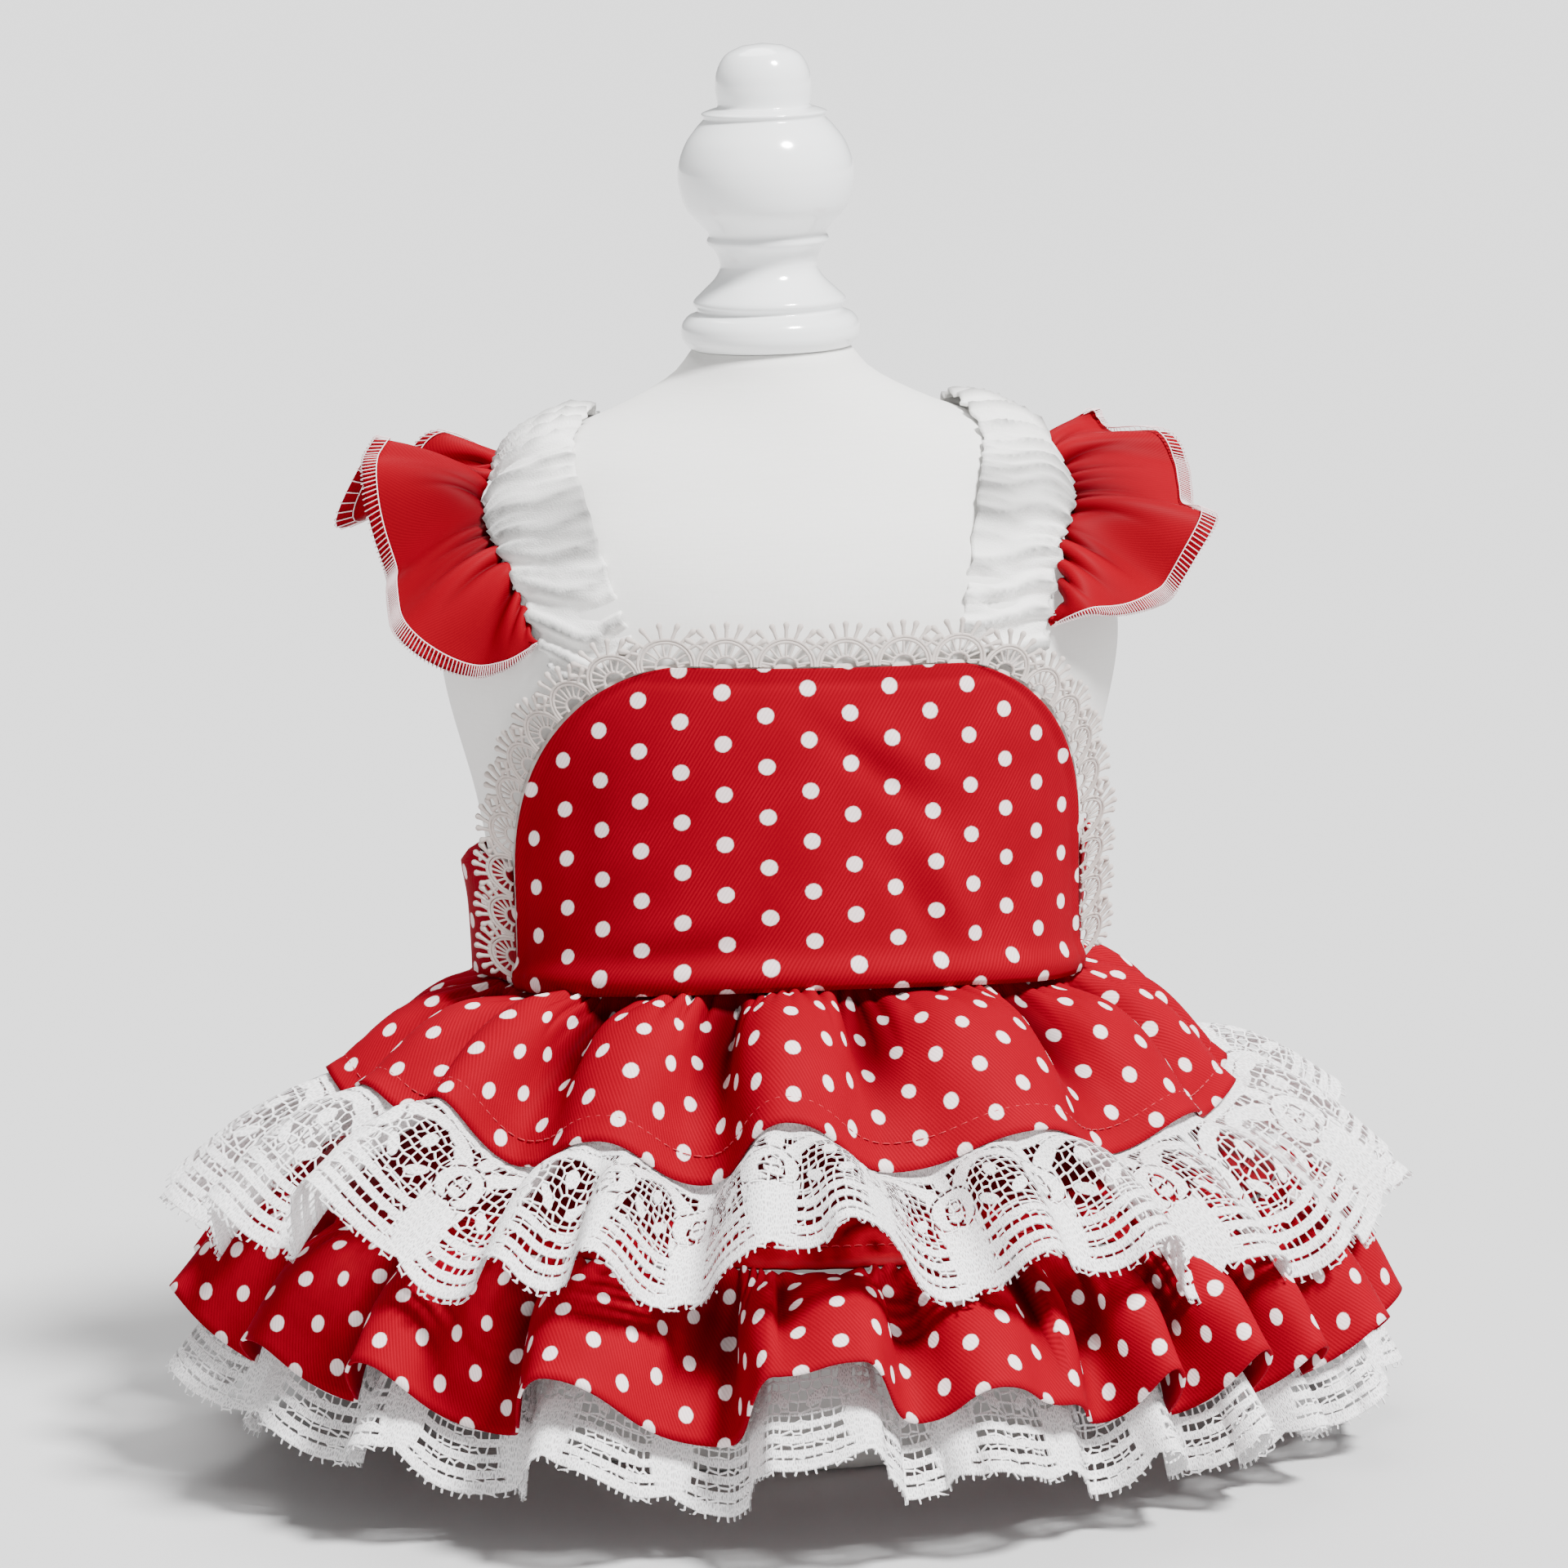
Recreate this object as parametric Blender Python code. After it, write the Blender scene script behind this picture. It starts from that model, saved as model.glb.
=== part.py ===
"""A dog's dress with two frilled tiers and two lace frills, worn by a small limbless dress form.

Metres, +Z up. The origin is the middle of the form's flat base, the dress's front looks along -Y.
Sizes are named in millimetres and turned to metres where a point is made.
"""
import math

import bmesh
import bpy
from mathutils import Vector

MM = 0.001
TURN = 2.0 * math.pi

# Cloth, seams and clearances
CLOTH_WALL = 1.2
LACE_WALL = 1.0
SEAM_GAP = 0.4
FORM_GAP = 0.6
HEM_OVERLAP = 5.0
HEM_CLEARANCE = 0.7
UNDER_RUFFLE = 1.5
RUFFLE_GAP = 0.9

# The dress form: half widths of its ovals, bottom to top
FORM_OVALS = (
    # height, half width, half depth
    (0.0, 60.0, 46.0),
    (60.0, 61.0, 47.0),
    (109.0, 63.5, 48.0),
    (143.0, 68.0, 51.0),
    (175.0, 75.0, 53.5),
    (195.0, 73.0, 50.0),
    (206.0, 68.5, 45.5),
    (214.0, 62.5, 40.0),
    (221.0, 55.5, 34.5),
    (226.0, 46.0, 29.5),
    (231.0, 33.5, 24.5),
    (237.0, 22.5, 20.0),
    (242.7, 17.5, 17.5),
)
FORM_SIDES = 40
FORM_STEP = 22.0

# The turned cap on the neck, as outlines of radius and height from its foot upward
CAP_OUTLINE = (
    # radius, height
    (17.6, 243.0),
    (19.0, 245.2),
    (19.1, 248.0),
    (17.2, 250.4),
    (15.6, 251.4),
    (16.4, 253.2),
    (14.2, 255.6),
    (11.3, 258.4),
    (10.4, 261.2),
    (11.4, 264.2),
    (13.1, 266.2),
    (12.6, 268.4),
    (16.4, 272.4),
    (18.5, 277.2),
    (18.7, 283.0),
    (16.6, 288.6),
    (12.7, 293.2),
    (13.5, 294.6),
    (9.6, 295.6),
    (10.5, 299.6),
    (9.9, 304.0),
    (6.6, 307.8),
)
CAP_TOP = 309.5
CAP_FULLNESS = 1.03
CAP_SIDES = 26

# The bodice: a shaped front panel and a plain band round the sides and back
WAIST = 110.0
BODICE_CENTRE = 1.4
BODICE_HALF_WIDTH = 60.2
BODICE_HEIGHT = 69.8
BODICE_CORNERS = {
    # side: half width of the level top, share of the height where the corner begins
    -1: (25.0, 0.34),
    1: (36.0, 0.50),
}
CORNER_POWER = 2.2
BAND_HEIGHT = 23.0
BAND_END_GAP = 0.012
BAND_BULGE = 4.0
BAND_BULGE_FROM = 0.74
BAND_BULGE_TO = 0.93

# The trim of scalloped lace round the bodice
TRIM_INSIDE = 2.0
TRIM_FLAT = 8.0
TRIM_SCALLOP = 4.2
TRIM_SCALLOPS = 24
TRIM_FULLNESS = 0.7
TRIM_LIFT = 0.8
TRIM_SIDE_SHARE = 0.72
TRIM_TOP_MIDDLE = 0.03
TRIM_RADIUS = 58.75
TRIM_STEP = 0.004
TRIM_STAND = 0.3
COLUMNS_PER_SCALLOP = 4

# The shoulder straps: sideways place of the two edges along their way over the shoulder
STRAP_EDGES = (
    # share of the way from front to back, inner edge, outer edge
    (0.0, 34.0, 52.0),
    (0.18, 40.0, 59.0),
    (0.36, 44.0, 62.5),
    (0.50, 40.0, 60.0),
    (0.66, 36.0, 55.0),
    (1.0, 25.0, 43.0),
)
STRAP_RISE = 3.6
STRAP_RISE_FROM = 0.12
STRAP_ASIDE = 2.2
STRAP_ASIDE_TO = 0.3
STRAP_EDGE_SHARE = 0.25
STRAP_FOOT_GAP = 1.6
STRAP_LOWEST = 175.0
SHOULDER_LOW = 180.0
SHOULDER_HIGH = 242.0

# The shoulder frills
FRILL_FROM = 0.07
FRILL_TO = 0.60
FRILL_GAP = 0.9
FRILL_LOBES = 2.6
FRILL_WAVE = 4.6
FRILL_WAVE_START = {-1: 1.9, 1: -0.9}
FRILL_SECOND_WAVE = 0.35
FRILL_CROWN = 3.0
# The free edge's place from the seam, up the front to the top corner, then over the shoulder
FRILL_EDGE = {
    # share of the way along the seam, outward, backward, upward
    -1: (
        (0.0, 0.5, -0.5, -1.0),
        (0.05, 1.6, -1.5, -6.5),
        (0.12, 5.6, -3.0, -13.0),
        (0.2, 11.3, -4.0, -17.5),
        (0.3, 18.0, -4.0, -19.5),
        (0.4, 22.8, -2.0, -17.5),
        (0.5, 24.6, 0.0, -12.0),
        (0.6, 26.0, 2.0, -6.0),
        (0.7, 27.2, 5.0, 0.0),
        (0.8, 26.0, 8.0, 5.0),
        (0.9, 20.0, 11.0, 6.0),
        (1.0, 9.0, 12.0, 4.0),
    ),
    1: (
        (0.0, 0.3, -0.5, -0.5),
        (0.05, 2.0, -1.5, -4.5),
        (0.12, 6.8, -3.0, -8.4),
        (0.2, 12.4, -4.0, -10.4),
        (0.3, 20.0, -4.0, -10.6),
        (0.4, 25.0, -2.0, -7.6),
        (0.5, 27.6, 0.0, -3.4),
        (0.6, 27.4, 2.0, -0.4),
        (0.7, 26.0, 5.0, 3.6),
        (0.8, 23.5, 8.0, 6.6),
        (0.9, 18.0, 10.0, 6.0),
        (1.0, 10.0, 8.0, 5.0),
    ),
}

# The skirt: what each piece measures down its slope
TIER_SLOPE = 51.0
UNDERSKIRT_REACH = 47.5
UNDERSKIRT_FALL = 43.0
LACE_UPPER_SLOPE = 41.5
RUFFLE_SLOPE = 39.0
LACE_LOWER_SLOPE = 51.0
UNDERSKIRT_TOP = 101.5
UNDERSKIRT_STEEP = 0.35
UNDERSKIRT_FLARE = 0.45
LACE_UPPER_SEAM = 0.25
SIDE_EASE = 0.08
RIGHT_DROP = 3.0
SKIRT_COLUMNS = 132

# Folds seen from the front, by angle round the body from the front and the slope's dip below level.
# A ridge has a small dip and reaches far out, a valley between two ridges hangs down.
TIER_FOLDS = (
    # angle, dip
    (-96.0, 46.0), (-84.0, 33.0), (-74.0, 46.0), (-63.0, 27.0), (-53.0, 40.0), (-43.0, 24.0),
    (-35.0, 42.0), (-24.0, 30.0), (-14.0, 45.0), (-4.5, 23.0), (6.5, 44.0), (21.0, 32.0),
    (35.0, 50.0), (47.0, 36.0), (58.0, 52.0), (70.0, 43.0), (81.0, 54.0), (93.0, 44.0), (104.0, 52.0),
)
LACE_UPPER_FOLDS = (
    # angle, dip
    (-104.0, 26.0), (-97.0, 17.0), (-89.0, 31.0), (-82.0, 18.0), (-74.0, 34.0), (-66.0, 18.0),
    (-58.0, 34.0), (-50.0, 14.0), (-43.5, 32.0), (-37.5, 16.0), (-29.0, 33.0), (-25.5, 20.0),
    (-22.0, 32.0), (-17.0, 5.0), (-12.0, 33.0), (-5.5, 18.0), (-1.0, 20.0), (3.5, 3.0),
    (11.0, 33.0), (17.0, 15.0), (25.0, 34.0), (32.5, 16.0), (40.0, 33.0), (51.0, 8.0),
    (61.0, 24.0), (70.0, 4.0), (80.0, 20.0), (91.0, 3.0), (101.0, 20.0),
)
RUFFLE_FOLDS = (
    # angle, dip
    (-88.0, 58.0), (-79.0, 30.0), (-68.0, 56.0), (-56.0, 32.0), (-48.0, 58.0), (-40.0, 28.0),
    (-30.0, 66.0), (-22.0, 20.0), (-11.0, 64.0), (-6.0, 26.0), (3.0, 22.0), (8.0, 58.0),
    (13.0, 32.0), (20.0, 44.0), (24.0, 62.0), (28.0, 30.0), (32.5, 64.0), (38.0, 30.0),
    (43.0, 64.0), (48.0, 38.0), (54.0, 64.0), (63.0, 40.0), (73.0, 62.0), (83.0, 46.0),
    (93.0, 62.0), (104.0, 46.0),
)
# How the hems swing aside to round their folds, and how far each piece arches between seam and hem
TIER_ROUND, TIER_ARCH = 0.35, 0.07
LACE_UPPER_ROUND, LACE_UPPER_ARCH = 0.85, 0.05
RUFFLE_ROUND, RUFFLE_ARCH = 0.95, 0.06
LACE_LOWER_ROUND, LACE_LOWER_ARCH = 0.8, 0.03
# The lower lace is sewn under the ruffle and follows its folds, hanging steeper
LACE_LOWER_STEEPER = 23.0
LACE_LOWER_SHARE = 0.72


def mix(a, b, t):
    return a + (b - a) * t


def ease(t):
    return (1.0 - math.cos(math.pi * t)) / 2.0


def between(rows, key, column):
    """A smooth curve through one column of a table whose first column rises."""
    last = len(rows) - 1
    if key <= rows[0][0]:
        return rows[0][column]
    if key >= rows[last][0]:
        return rows[last][column]
    i = next(n for n in range(last) if rows[n + 1][0] >= key)
    x0, x1 = rows[i][0], rows[i + 1][0]
    y0, y1 = rows[i][column], rows[i + 1][column]
    before, after = rows[max(i - 1, 0)], rows[min(i + 2, last)]
    slope0 = (y1 - before[column]) / (x1 - before[0])
    slope1 = (after[column] - y0) / (after[0] - x0)
    h = x1 - x0
    t = (key - x0) / h
    return (
        y0 * (1 + 2 * t) * (1 - t) ** 2 + h * slope0 * t * (1 - t) ** 2
        + y1 * t * t * (3 - 2 * t) + h * slope1 * t * t * (t - 1)
    )


def linear(hex_colour):
    parts = [int(hex_colour[i:i + 2], 16) / 255.0 for i in (0, 2, 4)]
    return [((c + 0.055) / 1.055) ** 2.4 if c > 0.04045 else c / 12.92 for c in parts] + [1.0]


def make_material(name, hex_colour, roughness):
    material = bpy.data.materials.new(name)
    material.use_nodes = True
    shader = material.node_tree.nodes["Principled BSDF"]
    shader.inputs["Base Color"].default_value = linear(hex_colour)
    shader.inputs["Roughness"].default_value = roughness
    shader.inputs["Metallic"].default_value = 0.0
    return material


def place(bm, name, material):
    mesh = bpy.data.meshes.new(name)
    bm.to_mesh(mesh)
    bm.free()
    mesh.materials.append(material)
    mesh.shade_smooth()
    mesh.set_sharp_from_angle(angle=math.radians(50.0))
    piece = bpy.data.objects.new(name, mesh)
    bpy.context.scene.collection.objects.link(piece)
    return piece


def cloth(name, material, columns, rows, point, wall, closed=False):
    """A wall of cloth whose outer face is point(u, v): u runs round or along it, v from seam to hem."""
    bm = bmesh.new()
    bmesh.ops.create_grid(bm, x_segments=columns, y_segments=rows, size=0.5)
    for vert in bm.verts:
        u = round((vert.co.x + 0.5) * columns) / columns
        v = round((vert.co.y + 0.5) * rows) / rows
        vert.co = Vector(point(u % 1.0 if closed else u, v)) * MM
    if closed:
        bmesh.ops.remove_doubles(bm, verts=bm.verts, dist=0.01 * MM)
    bmesh.ops.reverse_faces(bm, faces=bm.faces)
    piece = place(bm, name, material)
    thick = piece.modifiers.new("wall", "SOLIDIFY")
    thick.thickness = wall * MM
    thick.offset = -1.0
    thick.use_even_offset = False
    return piece


# The dress form

def form_half_width(z):
    return between(FORM_OVALS, z, 1)


def form_half_depth(z):
    return between(FORM_OVALS, z, 2)


def on_form(angle, z, away):
    """A point at an angle round the form from the front, moved out from its skin."""
    a = form_half_width(z) + away
    b = form_half_depth(z) + away
    return (a * math.sin(angle), -b * math.cos(angle), z)


def build_form(material):
    top = FORM_OVALS[-1][0]
    heights = [row[0] for row in FORM_OVALS]
    levels = []
    for low, high in zip(heights, heights[1:]):
        steps = max(1, math.ceil((high - low) / FORM_STEP))
        levels += [mix(low, high, n / steps) for n in range(steps)]
    levels.append(top)
    bm = bmesh.new()
    rings = []
    for z in levels:
        ring = bmesh.ops.create_circle(bm, segments=FORM_SIDES, radius=1.0)["verts"]
        a, b = form_half_width(z) * MM, form_half_depth(z) * MM
        for vert in ring:
            vert.co = (vert.co.x * a, vert.co.y * b, z * MM)
        rings.append(ring)
    for lower, upper in zip(rings, rings[1:]):
        edges = [e for e in bm.edges if all(v in lower or v in upper for v in e.verts)]
        bmesh.ops.bridge_loops(bm, edges=edges)
    for ring in (rings[0], rings[-1]):
        bmesh.ops.contextual_create(bm, geom=ring)
    bmesh.ops.recalc_face_normals(bm, faces=bm.faces)
    return place(bm, "form_body", material)


def build_cap(material):
    bm = bmesh.new()
    outline = [(0.0, CAP_OUTLINE[0][1])] + list(CAP_OUTLINE) + [(0.0, CAP_TOP)]
    verts = [bm.verts.new((radius * CAP_FULLNESS * MM, 0.0, z * MM)) for radius, z in outline]
    edges = [bm.edges.new(pair) for pair in zip(verts, verts[1:])]
    bmesh.ops.spin(
        bm, geom=verts + edges, axis=(0, 0, 1), cent=(0, 0, 0),
        angle=TURN, steps=CAP_SIDES, use_merge=True,
    )
    bmesh.ops.remove_doubles(bm, verts=bm.verts, dist=0.01 * MM)
    bmesh.ops.recalc_face_normals(bm, faces=bm.faces)
    return place(bm, "form_cap", material)


# The bodice

def bodice_half(t, side):
    """Half width of the front panel at a share t of its height, with rounded upper corners."""
    top_half, straight = BODICE_CORNERS[side]
    if t <= straight:
        return BODICE_HALF_WIDTH
    q = (t - straight) / (1.0 - straight)
    corner = BODICE_HALF_WIDTH - top_half
    return top_half + corner * math.sqrt(max(0.0, 1.0 - q ** CORNER_POWER))


def bodice_top(x):
    """Height of the front panel's upper edge above a sideways place."""
    top_half, straight = BODICE_CORNERS[-1 if x < BODICE_CENTRE else 1]
    aside = abs(x - BODICE_CENTRE)
    if aside <= top_half:
        return WAIST + BODICE_HEIGHT
    s = min(1.0, (aside - top_half) / (BODICE_HALF_WIDTH - top_half))
    q = (1.0 - s * s) ** (1.0 / CORNER_POWER)
    return WAIST + BODICE_HEIGHT * mix(straight, 1.0, q)


def edge_angle(t, side):
    """Angle round the form of the front panel's left or right edge."""
    z = WAIST + BODICE_HEIGHT * t
    x = BODICE_CENTRE + side * bodice_half(t, side)
    return math.asin(max(-0.999, min(0.999, x / (form_half_width(z) + FORM_GAP))))


def front_point(u, v):
    """Its rows lie closer together towards the rounded corners."""
    t = math.sin((1.0 - v) * math.pi / 2.0)
    angle = mix(edge_angle(t, -1), edge_angle(t, 1), u)
    return on_form(angle, WAIST + SEAM_GAP + (BODICE_HEIGHT - SEAM_GAP) * t, FORM_GAP + CLOTH_WALL)


def band_point(u, v):
    start = edge_angle(0.0, 1) + BAND_END_GAP
    end = edge_angle(0.0, -1) + TURN - BAND_END_GAP
    angle = mix(start, end, u)
    share = min(1.0, max(0.0, (u - BAND_BULGE_FROM) / (BAND_BULGE_TO - BAND_BULGE_FROM)))
    bulge = BAND_BULGE * math.sin(math.pi * share)
    z = WAIST + SEAM_GAP + BAND_HEIGHT * (1.0 - v)
    return on_form(angle, z, FORM_GAP + CLOTH_WALL + bulge)


def trim_place(u):
    """Place along the form's skin and height of a point on the front panel's edge.
    u runs from the lower left corner over the top to the lower right one."""
    side = -1 if u < 0.5 else 1
    up = 1.0 - abs(u - 0.5) * 2.0
    if up < TRIM_SIDE_SHARE:
        t = math.sin(up / TRIM_SIDE_SHARE * math.pi / 2.0)
        return TRIM_RADIUS * edge_angle(t, side), WAIST + TRIM_INSIDE + (BODICE_HEIGHT - TRIM_INSIDE) * t
    share = (1.0 - up) / (1.0 - TRIM_SIDE_SHARE)
    return TRIM_RADIUS * mix(TRIM_TOP_MIDDLE, edge_angle(1.0, side), share), WAIST + BODICE_HEIGHT


def trim_point(u, v):
    along, z = trim_place(u)
    along0, z0 = trim_place(max(0.0, u - TRIM_STEP))
    along1, z1 = trim_place(min(1.0, u + TRIM_STEP))
    way = Vector((along1 - along0, z1 - z0)).normalized()
    scallop = TRIM_SCALLOP * abs(math.sin(math.pi * TRIM_SCALLOPS * u)) ** TRIM_FULLNESS
    out = mix(-TRIM_INSIDE, TRIM_FLAT + scallop, v)
    away = FORM_GAP + CLOTH_WALL * 2.0 + TRIM_LIFT
    angle = (along - way.y * out) / TRIM_RADIUS
    lying = Vector(on_form(angle, z + way.x * out, away))
    if out <= 0.0:
        return lying
    # at the sides the stiff lace stands out straight instead of following the form
    start = Vector(on_form(along / TRIM_RADIUS, z, away))
    ahead = Vector(on_form(along / TRIM_RADIUS + 0.01, z, away)) - start
    around = ahead.normalized() * -way.y
    straight = Vector((around.x, around.y * TRIM_STAND, way.x)).normalized()
    return lying.lerp(start + straight * out, abs(way.y))


# The straps and their frills

def crest_above(x):
    """Height at which the form's shoulder is as wide as a sideways place."""
    low, high = SHOULDER_LOW, SHOULDER_HIGH
    while high - low > 0.01:
        middle = (low + high) / 2.0
        low, high = (middle, high) if form_half_width(middle) > x else (low, middle)
    return low


def strap_point(u, v, side):
    """u runs from the bodice over the shoulder to the band behind, v from the inner to the outer edge."""
    aside = STRAP_ASIDE * max(0.0, 1.0 - u / STRAP_ASIDE_TO) ** 2
    x = mix(between(STRAP_EDGES, u, 1), between(STRAP_EDGES, u, 2), v) + side * aside
    front_foot = max(STRAP_LOWEST, bodice_top(side * x) + STRAP_FOOT_GAP)
    foot = front_foot if u < 0.5 else WAIST + BAND_HEIGHT + SEAM_GAP * 2.0
    z = mix(foot, crest_above(x), math.sin(math.pi * min(u, 1.0 - u)))
    a, b = form_half_width(z), form_half_depth(z)
    across = x / a
    depth = b * math.sqrt(max(0.0, 1.0 - across * across))
    y = -depth if u < 0.5 else depth
    slope = (form_half_width(z + 0.5) - form_half_width(z - 0.5)) * across
    square_to_skin = Vector((x / (a * a), y / (b * b), -slope / a)).normalized()
    over = min(1.0, max(0.0, (u - STRAP_RISE_FROM) / (1.0 - 2.0 * STRAP_RISE_FROM)))
    crown = 1.0 - (1.0 - STRAP_EDGE_SHARE) * abs(2.0 * v - 1.0) ** 3
    lift = FORM_GAP + CLOTH_WALL + STRAP_RISE * crown * math.sin(math.pi * over) ** 2
    point = Vector((x, y, z)) + square_to_skin * lift
    return (side * point.x, point.y, point.z)


def frill_point(u, v, side):
    """u runs along the strap's outer edge, v from that seam to the frill's free edge."""
    along = mix(FRILL_FROM, FRILL_TO, u)
    seam = Vector(strap_point(along, 1.0, side))
    tangent = (Vector(strap_point(along + 0.01, 1.0, side)) - seam).normalized()
    outward, backward, upward = (between(FRILL_EDGE[side], u, column) for column in (1, 2, 3))
    edge = Vector((side * outward, backward, upward))
    face = tangent.cross(edge).normalized() * -side
    ends = math.sin(math.pi * mix(0.02, 0.98, u)) ** 0.5
    turn = TURN * FRILL_LOBES * u + FRILL_WAVE_START[side]
    wave = FRILL_WAVE * (math.sin(turn) + FRILL_SECOND_WAVE * math.sin(2.0 * turn)) * v ** 0.8
    crown = FRILL_CROWN * math.sin(math.pi * v ** 0.7)
    seam.x += side * FRILL_GAP
    return seam + edge * v + face * (wave + crown) * ends


# The skirt

def with_back_folds(folds, count, ridge, valley):
    """The front's folds, then similar uneven ones round the back, as rows that rise through a full turn."""
    rows = list(folds)
    start, end = rows[-1][0], rows[0][0] + 360.0
    starts_on_ridge = rows[-1][1] > rows[-2][1]
    step = (end - start) / (count + 1)
    for n in range(1, count + 1):
        uneven = 0.22 * math.sin(2.4 * n + 0.7) + 0.10 * math.sin(5.1 * n)
        is_ridge = (n % 2 == 1) == starts_on_ridge
        dip = (ridge if is_ridge else valley) + 4.0 * math.sin(3.7 * n + 1.0)
        rows.append((start + step * (n + uneven), dip))
    rows.append((end, rows[0][1]))
    return rows


def fold_at(rows, angle):
    """Dip at an angle in degrees, and how far the hem there swings sideways to round the folds."""
    angle = rows[0][0] + (angle - rows[0][0]) % 360.0
    i = next(n for n in range(len(rows) - 1) if rows[n + 1][0] >= angle)
    width = rows[i + 1][0] - rows[i][0]
    t = (angle - rows[i][0]) / width
    return mix(rows[i][1], rows[i + 1][1], ease(t)), width * math.sin(TURN * t) / TURN


def hung(seam, angle, rows, slope, v, round_out, arch):
    """A point v down a piece that hangs from its seam on the dip of its folds."""
    dip, swing = fold_at(rows, math.degrees(angle))
    dip = math.radians(dip)
    turned = angle + math.radians(swing) * round_out * v
    lift = arch * slope * 4.0 * v * (1.0 - v)
    reach = slope * v * math.cos(dip) + lift * math.sin(dip)
    fall = slope * v * math.sin(dip) - lift * math.cos(dip)
    x, y, z = seam
    square = Vector((x, y)).normalized()
    radial = Vector((math.sin(turned), -math.cos(turned)))
    way = square.lerp(radial, min(1.0, v * 2.0)).normalized()
    return (x + way.x * reach, y + way.y * reach, z - fall)


def tier_point(u, v):
    angle = u * TURN
    seam = on_form(angle, WAIST - SEAM_GAP / 2.0, FORM_GAP + CLOTH_WALL)
    return hung(seam, angle, TIER, TIER_SLOPE, v, TIER_ROUND, TIER_ARCH)


def inside_tier(angle, back):
    """A point on the tier's inner side, a distance back up from its hem."""
    u = (angle / TURN) % 1.0
    v = 1.0 - back / TIER_SLOPE
    here = Vector(tier_point(u, v))
    aside = Vector(tier_point((u + 0.002) % 1.0, v)) - here
    down = Vector(tier_point(u, min(1.0, v + 0.02))) - Vector(tier_point(u, v - 0.02))
    inward = aside.cross(down).normalized()
    return here + inward * (CLOTH_WALL + HEM_CLEARANCE)


def lace_upper_point(u, v):
    """Its upper edge lies against the tier's inner side, and from the hem downward it hangs free."""
    angle = u * TURN
    if v <= 0.0:
        return inside_tier(angle, HEM_OVERLAP)
    seam = inside_tier(angle, 0.0)
    if v <= LACE_UPPER_SEAM:
        return seam
    free = (v - LACE_UPPER_SEAM) / (1.0 - LACE_UPPER_SEAM)
    slope = LACE_UPPER_SLOPE - HEM_OVERLAP
    return hung(seam, angle, LACE_UPPER, slope, free, LACE_UPPER_ROUND, LACE_UPPER_ARCH)


def underskirt_point(u, v):
    """It hangs down first and then spreads to its hem."""
    angle = u * TURN
    x, y, z = on_form(angle, UNDERSKIRT_TOP, FORM_GAP + CLOTH_WALL)
    spread = (1.0 - UNDERSKIRT_FLARE) * v + UNDERSKIRT_FLARE * v * v
    reach = UNDERSKIRT_REACH * spread * (1.0 - SIDE_EASE * math.sin(angle) ** 2)
    drop = (1.0 + UNDERSKIRT_STEEP) * v - UNDERSKIRT_STEEP * v * v
    fall = UNDERSKIRT_FALL * drop + RIGHT_DROP * math.sin(angle) * v
    way = Vector((x, y)).normalized()
    return (x + way.x * reach, y + way.y * reach, z - fall)


def under_hem(angle):
    """A point just below the underskirt's hem."""
    u = (angle / TURN) % 1.0
    here = Vector(underskirt_point(u, 1.0))
    down = (here - Vector(underskirt_point(u, 0.93))).normalized()
    return here + down * RUFFLE_GAP


def ruffle_point(u, v):
    angle = u * TURN
    return hung(under_hem(angle), angle, RUFFLE, RUFFLE_SLOPE, v, RUFFLE_ROUND, RUFFLE_ARCH)


def lace_lower_point(u, v):
    angle = u * TURN
    x, y, z = under_hem(angle)
    way = Vector((x, y)).normalized() * UNDER_RUFFLE
    seam = (x - way.x, y - way.y, z - UNDER_RUFFLE)
    return hung(seam, angle, LACE_LOWER, LACE_LOWER_SLOPE, v, LACE_LOWER_ROUND, LACE_LOWER_ARCH)


# The folds of each skirt piece all round, its back ones by how many, ridge dip and valley dip
TIER = with_back_folds(TIER_FOLDS, 13, 36.0, 47.0)
LACE_UPPER = with_back_folds(LACE_UPPER_FOLDS, 15, 13.0, 26.0)
RUFFLE = with_back_folds(RUFFLE_FOLDS, 17, 38.0, 62.0)
LACE_LOWER = [(angle, dip * LACE_LOWER_SHARE + LACE_LOWER_STEEPER) for angle, dip in RUFFLE]


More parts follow.
